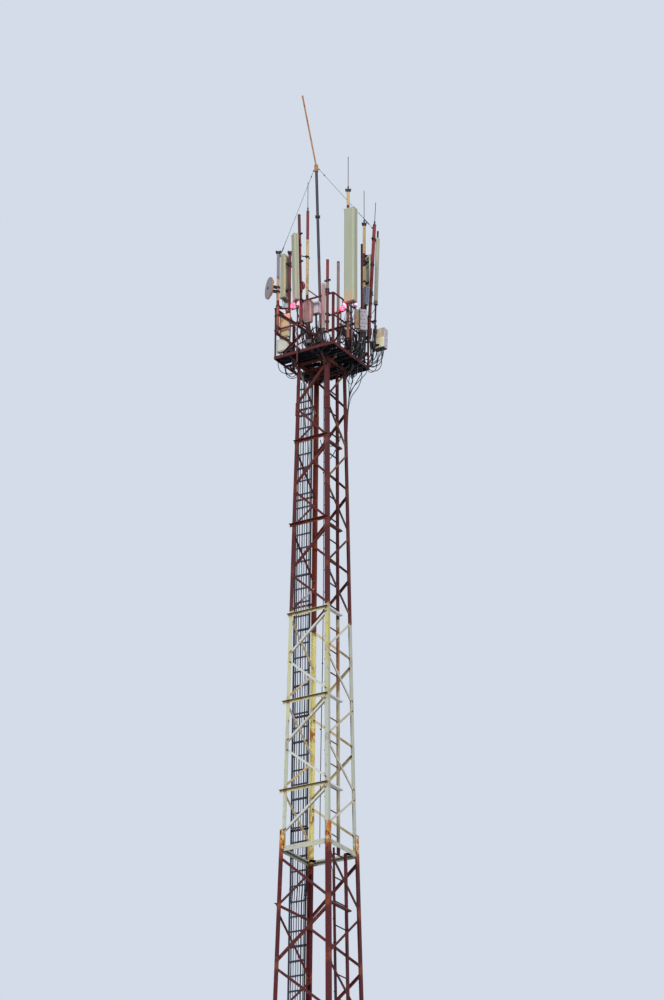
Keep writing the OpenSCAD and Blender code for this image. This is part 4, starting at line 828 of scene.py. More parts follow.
class TOWER_OT_pipe_fittings(bpy.types.Operator):
    """Adds caps, bands, sleeves and small arms to the pipes and the mast."""

    bl_idname = "tower.pipe_fittings"
    bl_label = "Add the Pipe Fittings"

    def execute(self, context):
        bm = bmesh.new()
        for i, heights in ((1, (2.84, 2.55)), (2, (2.74, 2.08)), (3, (3.08,)), (4, (1.45,)),
                           (7, (2.78, 2.58)), (8, (3.11, 1.75)), (9, (1.60,)), (6, (0.92,)),
                           (0, (0.95,)), (5, (1.6,))):
            for z in heights:
                band(bm, i, z)
        band(bm, 8, 2.47, ears=False)
        # Cap bars with a saddle bolt over the open tube ends.
        for i, reach in ((0, 0.060), (6, 0.065), (7, 0.055), (1, 0.05)):
            radius = PIPES[i].diameter / 2
            stand = pipe_frame(i, PIPES[i].top) @ turn(-90 * PIPES[i].side + VIEW_TURN)
            block(bm, stand @ raised(0.012), (2 * reach, 0.045, 0.020), 0.004)
            ring(bm, stand @ raised(-0.045), radius + 0.0005, radius + 0.008, 0.045, 14)
            for x in (0.015 - reach, reach - 0.015):
                stud(bm, stand @ at(x, 0, -0.035), 0.008, 0.075, 8)
                hex_head(bm, stand @ at(x, 0, 0.022), 0.022, 0.012)
        # The black arm from the fourth pipe towards its neighbour.
        start = pipe_frame(3, 3.08).translation
        round_bar(bm, start, start + Vector((-0.08, -0.12, 0.0)), 0.012)
        piece("pipe_bands_and_caps", bm, "black_band_steel")

        bm = bmesh.new()
        for i in (2, 3, 4, 5, 8, 9, 11):
            radius = PIPES[i].diameter / 2
            turned(bm, pipe_frame(i, PIPES[i].top), (
                (radius + 0.002, -0.02), (radius + 0.002, 0.002), (radius * 0.8, 0.010), (0, 0.013)), 14)
        piece("pipe_caps", bm, "painted_tube_cap")

        # Coats of paint that differ from pipe to pipe, as thin sleeves: pipe, bottom and top.
        for name, spans in {
                "lilac_grey_coat": ((0, 1.86, 2.405), (0, 1.80, 1.84)),
                "cream_coat": ((0, 1.30, 1.80), (3, 2.16, 3.50), (6, 3.42, 3.74), (7, 1.60, 2.52),
                               (7, 2.84, 3.50)),
                "orange_brown_coat": ((0, 0.72, 1.15), (6, 0.30, 0.88)),
                "signal_red_coat": ((2, 1.30, 2.00), (2, 2.20, 2.66), (3, 3.54, 4.16), (8, 1.85, 2.40),
                                    (8, 2.55, 3.04), (8, 3.17, 3.44), (4, 1.52, 1.90)),
                "grey_pink_coat": ((5, 1.65, 2.79), (4, 1.26, 1.40))}.items():
            bm = bmesh.new()
            for i, low, high in spans:
                radius = PIPES[i].diameter / 2
                ring(bm, pipe_frame(i, low), radius + 0.0002, radius + 0.0012, high - low, 18)
            piece(name, bm, name)

        # The fourth pipe's bolt holes, as dark discs of painted shade on the side that faces the front.
        bm = bmesh.new()
        for n in range(9):
            spot = pipe_frame(3, 3.05 - 0.145 * n) @ turn(90 + VIEW_TURN) @ at(0, -0.026, 0)
            stud(bm, spot @ turn(90, "X"), 0.009, 0.007, 10)
        piece("pipe_hole_shade_discs", bm, "black_band_steel")

        # The mast's cross bracket with its collar and two long bolts.
        bm = bmesh.new()
        rise = 3.54
        spot = at(-rise * MAST_LEAN, 0, PLATFORM_Z + rise) @ turn(VIEW_TURN)
        ring(bm, spot @ raised(-0.022), 0.0305, 0.042, 0.044)
        block(bm, spot @ at(0, -0.045, 0), (0.104, 0.012, 0.035), 0.002)
        for x in (-0.045, 0.045):
            stud(bm, spot @ at(x, -0.06, 0) @ turn(-90, "X"), 0.006, 0.12, 8)
            hex_head(bm, spot @ at(x, -0.051, 0) @ turn(90, "X"), 0.020, 0.010)
        piece("mast_brackets", bm, "black_band_steel")

        # Thin bars on the cage and below the deck: both ends, width, thickness, roll.
        bm = bmesh.new()
        round_bar(bm, (-0.77, 0.689, 32.27), (-0.085, 0.02, 31.60), 0.013)
        for bar in (
                ((-0.66, -0.712, 31.19), (-0.39, -0.712, 31.11), 0.030, 0.004, 180),
                ((-0.52, -0.700, 30.09), (-0.07, -0.700, 30.42), 0.045, 0.005, 180),
                ((-0.08, -0.698, 30.70), (0.52, -0.698, 30.06), 0.038, 0.004, 180),
                ((0.12, -0.690, 30.08), (0.38, -0.690, 30.43), 0.035, 0.004, 180),
                ((0.690, -0.45, 30.58), (0.690, 0.02, 30.10), 0.040, 0.004, 90),
                ((0.690, 0.10, 30.60), (0.690, 0.58, 30.10), 0.040, 0.004, 90),
                ((-0.697, -0.695, 31.13), (-0.170, -0.695, 30.70), 0.050, 0.005, 180),
                ((-0.697, -0.695, 30.63), (-0.360, -0.695, 30.36), 0.045, 0.005, 180),
                ((0.18, -0.715, 29.995), (0.19, -0.36, 29.960), 0.035, 0.004, 180),
                ((0.700, 0.66, 30.37), (0.700, 0.30, 29.985), 0.035, 0.004, 0)):
            angle_bar(bm, *bar)
        round_bar(bm, (0.700, 0.630, 30.316), (0.3675, 0.2575, 29.71), 0.009)
        piece("cage_stays", bm, "brace_red")
        bm = bmesh.new()
        angle_bar(bm, (0.476, 0.712, 30.37), (0.719, 0.712, 30.40), 0.035, 0.004, 90)
        piece("back_light_bar", bm, "galvanised_bar")
        return {"FINISHED"}


class TOWER_OT_antenna_fittings(bpy.types.Operator):
    """Adds end caps, seams, connectors and tilt plates to the antennas."""

    bl_idname = "tower.antenna_fittings"
    bl_label = "Add the Antenna Fittings"

    def execute(self, context):
        caps, tops, plugs, seams = bmesh.new(), bmesh.new(), bmesh.new(), bmesh.new()
        for unit in ANTENNAS:
            base, w, d, h = housing(unit)
            for bm, z in ((caps, 0.006), (tops, h - 0.004)):
                block(bm, base @ at(0, -d / 2, z), (w + 0.006, d + 0.006, 0.026), min(w, d) * 0.2, 3)
            ports = unit.ports
            for n in range(ports):
                spot = base @ at((n - (ports - 1) / 2) * w * 0.22, -d * 0.5, -0.007) @ turn(180, "X")
                stud(plugs, spot, 0.014, 0.016, 12)
                hex_head(plugs, spot @ raised(0.016), 0.026, 0.016)
                stud(plugs, spot @ raised(0.032), 0.011, 0.045, 12, 0.008)
            # The shell's two extrusion seams, and its back rail.
            for x in (-w / 2 - 0.0004, w / 2 + 0.0004):
                block(seams, base @ at(x, -d * 0.42, h / 2), (0.002, 0.006, h - 0.05), 0.0005)
            block(seams, base @ at(0, 0.004, h / 2), (w * 0.4, 0.008, h - 0.08), 0.002)
        piece("antenna_end_caps", caps, "moulded_end_cap")
        piece("antenna_top_caps", tops, "moulded_top_cap")
        piece("antenna_connectors", plugs, "nickel_connector")
        piece("antenna_seams", seams, "seam_shadow")

        # Pale back covers on two antennas whose backs face the viewer. The tan one is painted lighter than it
        # is, a painted light against the shade on its face.
        for name, unit in (("tan_back_cover", ANTENNAS[2]), ("green_back_cover", ANTENNAS[4])):
            base, w, d, h = housing(unit)
            bm = bmesh.new()
            block(bm, base @ at(0, 0.003, h / 2), (w - 0.012, 0.008, h - 0.04), 0.003, 2)
            piece(name, bm, name)

        # The pinkish sleeve over the low antenna on the front right pipe.
        base, w, d, h = housing(ANTENNAS[5])
        bm = bmesh.new()
        block(bm, base @ at(0, -d / 2, h / 2), (w + 0.008, d + 0.006, h - 0.05), 0.018, 3)
        piece("pink_antenna_sleeve", bm, "pinkish_shell")

        # The black foot of the small antenna on the far right pipe, and tilt arms behind the big one.
        bm = bmesh.new()
        block(bm, unit_frame(ANTENNAS[3]) @ at(0, -0.025, -0.045), (0.082, 0.058, 0.075), 0.008, 2)
        for z in (0.36, 1.92):
            arm = unit_frame(ANTENNAS[0]) @ at(-0.153, 0.034, z)
            for x in (-0.03, 0.03):
                block(bm, arm @ at(x, 0, 0), (0.006, 0.062, 0.07), 0.001)
            stud(bm, arm @ at(-0.045, 0, 0) @ turn(90, "Y"), 0.008, 0.09, 10)
        piece("tilt_arms", bm, "nickel_connector")
        return {"FINISHED"}


class TOWER_OT_radio_fittings(bpy.types.Operator):
    """Adds fins, covers, perforations, connectors and handles to the radio units."""

    bl_idname = "tower.radio_fittings"
    bl_label = "Add the Radio Fittings"

    def execute(self, context):
        # The finned unit on the second pole: a plain half and a finned half, both painted lighter than they
        # are to lift their shade.
        fins = context.scene.tower_fittings.fin_count
        base, w, d, h = housing(FINNED)
        bm = bmesh.new()
        block(bm, base @ at(-w / 4, -d - 0.006, h / 2), (w / 2 - 0.004, 0.012, h - 0.02), 0.004, 2)
        block(bm, base @ at(0, -d / 2, h + 0.004), (w, d, 0.012), 0.003)
        piece("finned_unit_cover", bm, "lilac_powder_coat")
        bm = bmesh.new()
        for n in range(fins):
            x = 0.006 + (w / 2 - 0.012) * n / (fins - 1)
            block(bm, base @ at(x, -d - 0.013, h / 2), (0.004, 0.030, h - 0.03), 0.001)
        for n in range(5):
            spot = base @ at(w / 2 + 0.009, -d * (0.15 + 0.175 * n), h / 2)
            block(bm, spot, (0.020, 0.004, h - 0.04), 0.001)
        piece("finned_unit_fins", bm, "red_brown_fin")

        # The small white box beside it: slots and covers on two faces.
        base, w, d, h = housing(WHITE_BOX)
        bm = bmesh.new()
        # The slots are grey strips: painted shade in the slots.
        for n in range(6):
            z = 0.05 + n * 0.034
            block(bm, base @ at(-w / 2 - 0.001, -d * 0.5, z), (0.004, d * 0.6, 0.008), 0.001)
            block(bm, base @ at(0, -d - 0.001, z), (w * 0.6, 0.004, 0.008), 0.001)
        piece("white_box_slots", bm, "slate_cover")
        bm = bmesh.new()
        block(bm, base @ at(0, -d - 0.004, h / 2), (w - 0.010, 0.008, h - 0.012), 0.003, 2)
        block(bm, base @ at(-w / 2 - 0.003, -d / 2, h / 2), (0.006, d - 0.012, h - 0.012), 0.002, 2)
        piece("white_box_covers", bm, "pale_cover")

        # The stack of two flat units on the left pole: covers, ports, handles and gills.
        bm, dark = bmesh.new(), bmesh.new()
        for unit in (UPPER_FLAT, LOWER_FLAT):
            base, w, d, h = housing(unit)
            block(bm, base @ at(0, -d - 0.005, h / 2), (w - 0.03, 0.012, h - 0.04), 0.004, 2)
            for n in range(4):
                block(dark, base @ at(w * (n - 1.5) * 0.2, -d * 0.5, -0.012), (0.022, 0.022, 0.026), 0.004)
            for x in (-w / 2 - 0.006, w / 2 + 0.006):
                round_bar(dark, *(base @ Vector((x, -d * 0.5, h * share)) for share in (0.3, 0.7)), 0.006)
            # The gills are dark strips: painted shade between them.
            for n in range(int(h / 0.06)):
                block(dark, base @ at(w / 2 + 0.001, -d * 0.5, 0.05 + 0.055 * n), (0.004, d * 0.55, 0.010),
                      0.001)
        piece("flat_unit_covers", bm, "flat_unit_cover")
        piece("flat_unit_ports", dark, "radio_black")

        # The perforated unit: rows of holes on two faces, as dark discs of painted shade.
        base, w, d, h = housing(PERFORATED)
        bm, dark = bmesh.new(), bmesh.new()
        block(bm, base @ at(0, -d - 0.004, h / 2), (w - 0.01, 0.010, h - 0.02), 0.003, 2)
        block(bm, base @ at(w / 2 + 0.003, -d / 2, h / 2), (0.008, d - 0.012, h - 0.02), 0.002, 2)
        for row in range(5):
            z, shift = 0.06 + 0.088 * row, 0.016 if row % 2 else -0.016
            for x in (shift - 0.0375, shift + 0.0375):
                stud(dark, base @ at(x, -d - 0.0085, z) @ turn(90, "X"), 0.011, 0.004, 12)
            stud(dark, base @ at(w / 2 + 0.0065, -d * 0.5, z) @ turn(90, "Y"), 0.010, 0.004, 12)
        piece("perforated_unit_cover", bm, "pale_cover")
        # Its filter box at the left, and the straps that hold both.
        bm = bmesh.new()
        spot = base @ at(-w / 2 - 0.052, -d * 0.45, 0)
        block(bm, spot @ raised(h * 0.52), (0.096, d * 0.8, h * 0.9), 0.008, 2)
        for share in (0.25, 0.75):
            block(bm, spot @ raised(h * share), (0.102, d * 0.8 + 0.008, 0.022), 0.003)
        piece("filter_box", bm, "tan_filter_box")

        # The grey-blue unit on the leaning pipe: a ribbed shell with its gills as dark strips of painted
        # shade.
        base, w, d, h = housing(SLATE_UNIT)
        bm = bmesh.new()
        block(bm, base @ at(0, -d - 0.004, h / 2), (w - 0.008, 0.010, h - 0.015), 0.003, 2)
        for s in (-1, 1):
            block(bm, base @ at(s * (w / 2 + 0.003), -d / 2, h / 2), (0.008, d - 0.010, h - 0.02), 0.002, 2)
        for n in range(7):
            z = 0.05 + 0.055 * n
            for s in (-1, 1):
                block(dark, base @ at(s * (w / 2 + 0.008), -d / 2, z), (0.004, d * 0.5, 0.012), 0.001)
            block(dark, base @ at(0.014 if n % 2 else -0.014, -d - 0.009, z), (w * 0.35, 0.004, 0.012), 0.001)
        piece("slate_unit_shell", bm, "slate_cover")

        # The right-hand unit: beige above, cream below, holes along its far face.
        base, w, d, h = housing(RIGHT_UNIT)
        bm = bmesh.new()
        block(bm, base @ at(-w / 2 - 0.003, -d / 2, h / 2), (0.008, d - 0.008, h - 0.01), 0.003, 2)
        block(bm, base @ at(0, -d - 0.003, h / 2), (w - 0.01, 0.008, h - 0.01), 0.003, 2)
        piece("right_unit_side_cover", bm, "pale_cover")
        # Its cream and beige covers are painted near white, a painted light against the shadow on the unit.
        for name, finish, spot, size in (
                ("right_unit_lower_cover", "cream_cover", (0, 0.003, h * 0.27), (w - 0.004, 0.010, h * 0.52)),
                ("right_unit_upper_cover", "beige_cover", (0.035, 0.003, h * 0.765),
                 (w - 0.074, 0.012, h * 0.43))):
            bm = bmesh.new()
            block(bm, base @ at(*spot), size, 0.003, 2)
            piece(name, bm, finish)
        # Its holes are dark discs: painted shade in the holes.
        for row in range(6):
            spot = base @ at(-w / 2 - 0.0065, -d * (0.35 if row % 2 else 0.6), 0.06 + 0.07 * row)
            stud(dark, spot @ turn(-90, "Y"), 0.010, 0.004, 12)
        block(dark, base @ at(0, -d / 2, -0.006), (w - 0.02, d - 0.02, 0.014), 0.003)

        # Ports below the units: how many, their spacing, their height, radius, length and top radius.
        for unit, count, pitch, z, port in (
                (RIGHT_UNIT, 5, 0.045, -0.012, (0.014, 0.035, 10, 0.009)),
                (FINNED, 3, FINNED.width * 0.25, 0.0, (0.014, 0.035, 10, 0.009)),
                (WHITE_BOX, 3, WHITE_BOX.width * 0.25, 0.0, (0.014, 0.035, 10, 0.009)),
                (SLATE_UNIT, 3, SLATE_UNIT.width * 0.28, 0.0, (0.012, 0.032, 10, 0.008)),
                (PERFORATED, 3, PERFORATED.width * 0.28, 0.0, (0.012, 0.032, 10, 0.008))):
            for n in range(count):
                spot = unit_frame(unit) @ at((n - (count - 1) / 2) * pitch, -unit.depth / 2, z)
                stud(dark, spot @ turn(180, "X"), *port)
        piece("radio_holes_and_ports", dark, "radio_black")
        return {"FINISHED"}


class TOWER_OT_dish_fittings(bpy.types.Operator):
    """Adds the rim, ribs and bolts of the dish and of the small round radio."""

    bl_idname = "tower.dish_fittings"
    bl_label = "Add the Dish Fittings"

    def execute(self, context):
        base = pipe_frame(0) @ turn(-38.6) @ at(0, -0.150, 1.56 - CAGE_H) @ turn(90, "X")
        bm = bmesh.new()
        turned(bm, base, ((0.2295, 0.031), (0.2355, 0.031), (0.2365, 0.034), (0.2365, 0.056), (0.2350, 0.060),
                          (0.2200, 0.0625), (0.2200, 0.0605), (0.2295, 0.058)), 48, True)
        piece("dish_rim", bm, "dish_rim_paint")

        # Eight ribs with a bolt at the rim, the hub's flange, and the boss on the face.
        bm = bmesh.new()
        for n in range(8):
            spoke = base @ turn(45 * n + 22.5)
            block(bm, spoke @ at(0.125, 0, 0.004), (0.13, 0.006, 0.022), 0.002)
            hex_head(bm, spoke @ at(0.228, 0, 0.026) @ turn(180, "X"), 0.016, 0.010)
        ring(bm, base @ raised(-0.006), 0.045, 0.072, 0.006, 24)
        for n in range(6):
            hex_head(bm, base @ turn(60 * n) @ at(0.058, 0, -0.006) @ turn(180, "X"), 0.016, 0.008)
        stud(bm, base @ raised(0.0735), 0.032, 0.010, 24, 0.024)
        piece("dish_back_ribs", bm, "dish_back_steel")

        base = pipe_frame(2) @ turn(-150) @ at(0, -0.056, 1.565 - CAGE_H) @ turn(90, "X")
        bm = bmesh.new()
        for z in (0.030, 0.050, 0.070):
            ring(bm, base @ raised(z), 0.0948, 0.0965, 0.005, 32)
        turned(bm, base, ((0.0, 0.0965), (0.030, 0.0965), (0.030, 0.1010), (0.0, 0.1025)), 24)
        piece("drum_ribs", bm, "crimson_rib")
        return {"FINISHED"}


class TOWER_OT_lamps(bpy.types.Operator):
    """Adds wire guards, bases, lens rings and glow to the obstruction lamps."""

    bl_idname = "tower.lamps"
    bl_label = "Add the Lamp Fittings"

    def execute(self, context):
        lamp_y = -0.0503
        spots = [cage_side(0) @ at(-0.235, PIPE_Y, 1.0203), cage_side(1) @ at(-0.444, lamp_y, 0.8503)]
        rise = ((0.042, 0.012), (0.050, 0.06), (0.048, 0.115), (0.022, 0.142))
        hoop = [(-r, z) for r, z in rise] + list(reversed(rise))
        hoops, bm = [], bmesh.new()
        for spot in spots:
            for quarter in range(4):
                place = spot @ turn(45 * quarter)
                hoops.append([place @ Vector((x, 0, z)) for x, z in hoop])
                hex_head(bm, spot @ turn(90 * quarter + 45) @ at(0.036, 0, 0.0), 0.012, 0.008)
            for z in (0.008, 0.062):
                ring(bm, spot @ raised(z), 0.0435, 0.0475, 0.005, 20)
        leads("lamp_guards", hoops, 0.0022, "black_guard_wire")
        cylinders = [cage_side(0) @ at(-0.108, PIPE_Y, 1.0203), cage_side(1) @ at(-0.366, lamp_y, 0.9153),
                     cage_side(1) @ at(0.066, lamp_y, 1.1703)]
        lenses = bmesh.new()
        for spot in cylinders:
            for z, outer in ((0.018, 0.0385), (0.158, 0.0375)):
                ring(bm, spot @ raised(z), 0.0338, outer, 0.010, 20)
            turned(bm, spot, ((0.034, 0.1702), (0.036, 0.173), (0.020, 0.182), (0.0, 0.184)), 20)
            # Lens rings that glow as lit lamps; their glow also lifts the shadow on the cylinders, as painted
            # light.
            for n in range(8):
                ring(lenses, spot @ raised(0.034 + 0.0145 * n), 0.0341, 0.0378, 0.010, 20)
        piece("lamp_rings", bm, "black_guard_wire")
        piece("lit_lens_rings", lenses, "lit_lilac_lens")
        for name, spot in zip(("lamp_glow_left", "lamp_glow_right"), spots):
            light = bpy.data.lights.new(name, "POINT")
            light.energy = 3.5
            light.color = linear("#FF6A9A")[:3]
            light.shadow_soft_size = 0.07
            glow = bpy.data.objects.new(name, light)
            glow.location = spot.translation + Vector((-0.06, -0.12, 0.03))
            context.scene.collection.objects.link(glow)
        return {"FINISHED"}


class TOWER_OT_deck_fittings(bpy.types.Operator):
    """Adds bolts, dark sheets of painted shade, boxes and brackets to the deck, its edge and the cage."""

    bl_idname = "tower.deck_fittings"
    bl_label = "Add the Deck Fittings"

    def execute(self, context):
        sizes = context.scene.tower_fittings
        wide, tall = sizes.bolt_width * 0.8, sizes.bolt_height
        bm, brackets = bmesh.new(), bmesh.new()
        for k in range(4):
            side, rim = cage_side(k), turn(90 * k)
            for n in range(9):
                hex_head(bm, outward(side, -0.66 + 0.165 * n, -0.0062, 0.0325), wide, tall)
            # Pairs of bolts where the rails meet the posts; the front has no middle post.
            for u in (-0.696, 0.696, 0.0) if k else (-0.696, 0.696):
                for z, shift in ((0.66, -0.010), (0.68, 0.010), (1.165, -0.010), (1.19, 0.010)):
                    hex_head(bm, outward(side, u + shift, -0.0062, z), wide, tall)
            # Knee brackets that carry the deck's edge from the bearers.
            for u in (-0.337, 0.337):
                angle_bar(brackets, rim @ Vector((u, -0.60, PLATFORM_Z - 0.037)),
                          rim @ Vector((u, -0.44, PLATFORM_Z - 0.22)), 0.04, 0.005, 45)
        # Deck clips under the planks along two bearers.
        for n, x in product(range(8), (-0.292, 0.382)):
            spot = at(x, -0.6288 + 0.1797 * n, PLATFORM_Z + 0.0253)
            hex_head(bm, spot @ turn(180, "X"), wide, tall)
        piece("cage_bolts", bm, "rusty_cage_bolt")

        # Black sheets on the planks: middle, width and depth. Seen from below through the deck's slots, they
        # are painted shade of the gear above.
        bm = bmesh.new()
        for x, y, w, d in ((-0.012, -0.515, 0.70, 0.37), (-0.012, 0.53, 0.70, 0.34),
                           (-0.535, -0.535, 0.34, 0.34), (0.52, -0.595, 0.36, 0.22),
                           (-0.535, 0.44, 0.34, 0.50), (0.52, 0.44, 0.36, 0.50)):
            block(bm, at(x, y, PLATFORM_Z + 0.0628), (w, d, 0.005), 0.002)
        piece("deck_shade_sheets", bm, "slot_shade_sheet")

        # Small black boxes with their glands on the cage: middle, turn, width, depth and height.
        bm = bmesh.new()
        for x, y, z, spin, w, d, h in (
                (-0.06, -0.66, 30.50, 0, 0.09, 0.06, 0.13), (0.07, -0.62, 30.24, 20, 0.12, 0.08, 0.10),
                (0.36, -0.65, 30.22, 0, 0.10, 0.07, 0.16), (0.66, -0.24, 30.50, 90, 0.10, 0.07, 0.14),
                (0.64, 0.05, 30.30, 80, 0.14, 0.09, 0.18), (0.62, 0.42, 30.36, 90, 0.12, 0.08, 0.20),
                (0.76, 0.66, 30.86, 60, 0.09, 0.07, 0.16), (0.80, 0.72, 30.56, 100, 0.10, 0.08, 0.14),
                (-0.40, -0.64, 30.17, 0, 0.14, 0.07, 0.12), (0.20, -0.30, 30.20, 30, 0.22, 0.14, 0.16),
                (0.35, 0.30, 30.24, 0, 0.20, 0.16, 0.24)):
            spot = at(x, y, z) @ turn(spin)
            block(bm, spot, (w, d, h), 0.006, 2)
            block(bm, spot @ at(0, -d / 2 - 0.003, 0), (w * 0.8, 0.008, h * 0.8), 0.003)
            for n in range(3):
                stud(bm, spot @ at((n - 1) * w * 0.3, 0, -h / 2) @ turn(180, "X"), 0.010, 0.035, 8, 0.008)
        piece("junction_boxes", bm, "black_junction_box")
        piece("knee_brackets", brackets, "knee_bracket_paint")
        return {"FINISHED"}


class TOWER_OT_leads(bpy.types.Operator):
    """Runs the leads of the antennas and radios, the loops under the deck and the thin cables inside."""

    bl_idname = "tower.leads"
    bl_label = "Run the Leads"

    def execute(self, context):
        radius = context.scene.tower_fittings.lead_radius
        pick = random.Random(11).uniform

        def spread(*ranges):
            """A point with each coordinate picked from its range."""
            return Vector([pick(low, high) for low, high in ranges])

        def flat(x_range, y_range):
            return Vector((pick(*x_range), pick(*y_range), 0))

        def sag(start, end, drop):
            """A slack run that leaves both ends downwards."""
            start, end = Vector(start), Vector(end)
            low = min(start.z, end.z) - drop
            mid = (start + end) / 2 + flat((-0.05, 0.05), (-0.05, 0.05))
            near, far = start * 0.6 + mid * 0.4, end * 0.6 + mid * 0.4
            return [start, start - Vector((0, 0, drop * 0.6)), Vector((near.x, near.y, low)),
                    Vector((far.x, far.y, low - 0.02)), end - Vector((0, 0, drop * 0.5)), end]

        # From each antenna's connectors down inside the cage to the deck.
        entries = ((0.30, -0.20), (-0.10, -0.45), (-0.45, -0.10), (0.50, 0.45), (-0.30, 0.45), (0.45, -0.45))
        routes = []
        for unit, (x, y) in zip(ANTENNAS, entries):
            ports = unit.ports
            for n in range(ports):
                shift = (n - (ports - 1) / 2) * unit.width * 0.22
                top = unit_frame(unit) @ Vector((shift, -unit.depth / 2, -0.08))
                inner = Vector((top.x * 0.80, top.y * 0.80, max(top.z - 0.35, 30.55)))
                foot = Vector((x + pick(-0.06, 0.06), y + pick(-0.06, 0.06), 30.10))
                routes.append([top, top - Vector((0, 0, 0.14)), inner,
                               (inner + foot) / 2 + flat((-0.08, 0.08), (-0.08, 0.08)),
                               foot + Vector((0, 0, 0.10)), foot])
        leads("antenna_leads", routes, radius)

        # From the radio units: short loops, the tangle in front and the tangle at the right.
        routes = []
        for unit in POLE_UNITS:
            for n in range(3):
                start = unit_frame(unit) @ Vector(((n - 1) * unit.width * 0.25, -unit.depth / 2, -0.03))
                end = Vector((start.x + pick(-0.15, 0.30), start.y + pick(0.05, 0.35),
                              30.10 + pick(0.0, 0.2)))
                routes.append(sag(start, end, 0.06 + pick(0, 0.05)))
        for unit in PIPE_UNITS:
            for n in range(4):
                start = unit_frame(unit) @ Vector(((n - 1.5) * unit.width * 0.22, -unit.depth / 2, -0.03))
                end = Vector((0.66 + pick(-0.10, 0.06), start.y * 0.75 + pick(-0.10, 0.10),
                              start.z - pick(0.1, 0.35)))
                routes.append(sag(start, end, 0.10 + pick(0, 0.16)))
        for n in range(30):
            # In front, between the two poles and over the edge of the deck.
            start = spread((-0.20, 0.30), (-0.62, -0.45), (30.35, 30.70))
            end = spread((0.10, 0.60), (-0.66, -0.40), (30.08, 30.30))
            routes.append(sag(start, end, pick(0.05, 0.16)))
        for n in range(34):
            # At the right, inside the cage and round the lower ends of the pipes.
            y = pick(-0.30, 0.85)
            start = Vector((pick(0.55, 0.86), y, pick(30.45, 31.15)))
            end = Vector((pick(0.50, 0.80), min(0.80, y + pick(-0.25, 0.30)), pick(30.08, 30.45)))
            routes.append(sag(start, end, pick(0.04, 0.14)))
        leads("radio_leads", routes, radius * 1.45)

        # Thick power cables and bundles among them.
        routes = []
        for n in range(26):
            if n % 2:
                start = spread((-0.15, 0.45), (-0.64, -0.30), (30.30, 30.62))
                end = start + flat((-0.22, 0.30), (-0.02, 0.20))
            else:
                start = spread((0.50, 0.80), (-0.45, 0.75), (30.35, 30.90))
                end = start + flat((-0.20, -0.05), (-0.20, 0.20))
            end.z = pick(30.10, 30.30)
            routes.append(sag(start, end, pick(0.03, 0.09)))
        leads("power_cables", routes, radius * 2.4)

        # Loops that hang from the deck's right and left corners, and run in to the legs.
        routes = []
        for y, out, low in ((0.62, 0.70, 29.74), (0.50, 0.66, 29.66), (0.34, 0.64, 29.70),
                            (0.66, 0.56, 29.52), (0.20, 0.60, 29.62)):
            routes.append([(out, y, 30.0), (out + 0.03, y + 0.02, 29.92), (out - 0.03, y - 0.02, low + 0.10),
                           (out - 0.12, y * 0.6 + 0.15, low - 0.06), (0.44, 0.40, low - 0.26),
                           (0.385, 0.405, low - 0.55), (0.385, 0.395, low - 1.0)])
        for x, y, low in ((-0.70, -0.60, 29.74), (-0.62, -0.46, 29.66), (-0.70, -0.30, 29.78)):
            routes.append([(x, y, 29.99), (x - 0.02, y + 0.02, low + 0.12), (x + 0.05, y + 0.08, low),
                           (x + 0.16, y + 0.10, low - 0.02), (-0.42, -0.28, low + 0.04),
                           (-0.36, -0.20, 29.86)])
        # Bundles under the deck: in its right corner, then in its middle between the bearers.
        for count, x_range, y_range, z, x_run, y_run, drop in (
                (14, (0.35, 0.66), (0.05, 0.62), 29.97, (-0.25, 0.04), (-0.15, 0.06), (0.04, 0.16)),
                (10, (-0.25, 0.45), (-0.30, 0.45), 29.96, (-0.3, 0.3), (-0.2, 0.3), (0.08, 0.30))):
            for n in range(count):
                x, y = pick(*x_range), pick(*y_range)
                routes.append(sag((x, y, z), (x + pick(*x_run), y + pick(*y_run), z), pick(*drop)))
        # The outer loops below the right-hand unit.
        for y, x, low in ((0.74, 0.94, 30.14), (0.84, 0.97, 30.22), (0.92, 0.90, 30.06),
                          (0.80, 0.86, 29.98)):
            routes.append([(x, y, 30.50), (x + 0.01, y + 0.01, low + 0.16), (x - 0.02, y, low),
                           (x - 0.12, y - 0.14, low - 0.10), (0.74, y - 0.24, 29.98),
                           (0.66, y - 0.28, 30.10)])
        leads("deck_loops", routes, radius * 1.3)

        # A coil of spare cable tied to the front of the cage.
        centre = Vector((0.20, -0.60, 30.47))
        turns = []
        for n in range(4):
            r, shift = 0.095 + 0.006 * n, 0.014 * n
            turns.append([centre + Vector((r * math.cos(a), shift + 0.01 * math.sin(2 * a),
                                           0.9 * r * math.sin(a)))
                          for a in [math.tau * step / 14 for step in range(16)]])
        leads("spare_coil", turns, radius)

        # Thin cables inside the tower: a straight one on the axis, a wavy one and two loops.
        leads("inner_cables", [
            [(0.010, 0.0, 19.45), (0.011, 0.01, 21.2), (0.045, 0.0, 22.7), (0.065, 0.0, 24.2),
             (0.05, 0.03, 26.5), (0.02, 0.05, 29.85)],
            [(-0.266, -0.30, 29.90), (-0.26, -0.30, 29.47), (-0.15, -0.30, 29.10), (-0.28, -0.30, 28.66),
             (-0.12, -0.30, 28.18), (-0.11, -0.30, 27.72), (-0.20, -0.33, 27.3)],
            [(0.20, -0.373, 28.07), (0.20, -0.25, 27.84), (0.20, -0.10, 27.74), (0.20, 0.05, 27.78),
             (0.20, 0.34, 28.24), (0.26, 0.37, 28.5)],
            [(0.24, -0.373, 28.30), (0.22, -0.15, 27.98), (0.20, 0.08, 27.95), (0.22, 0.37, 28.45)]], 0.009)

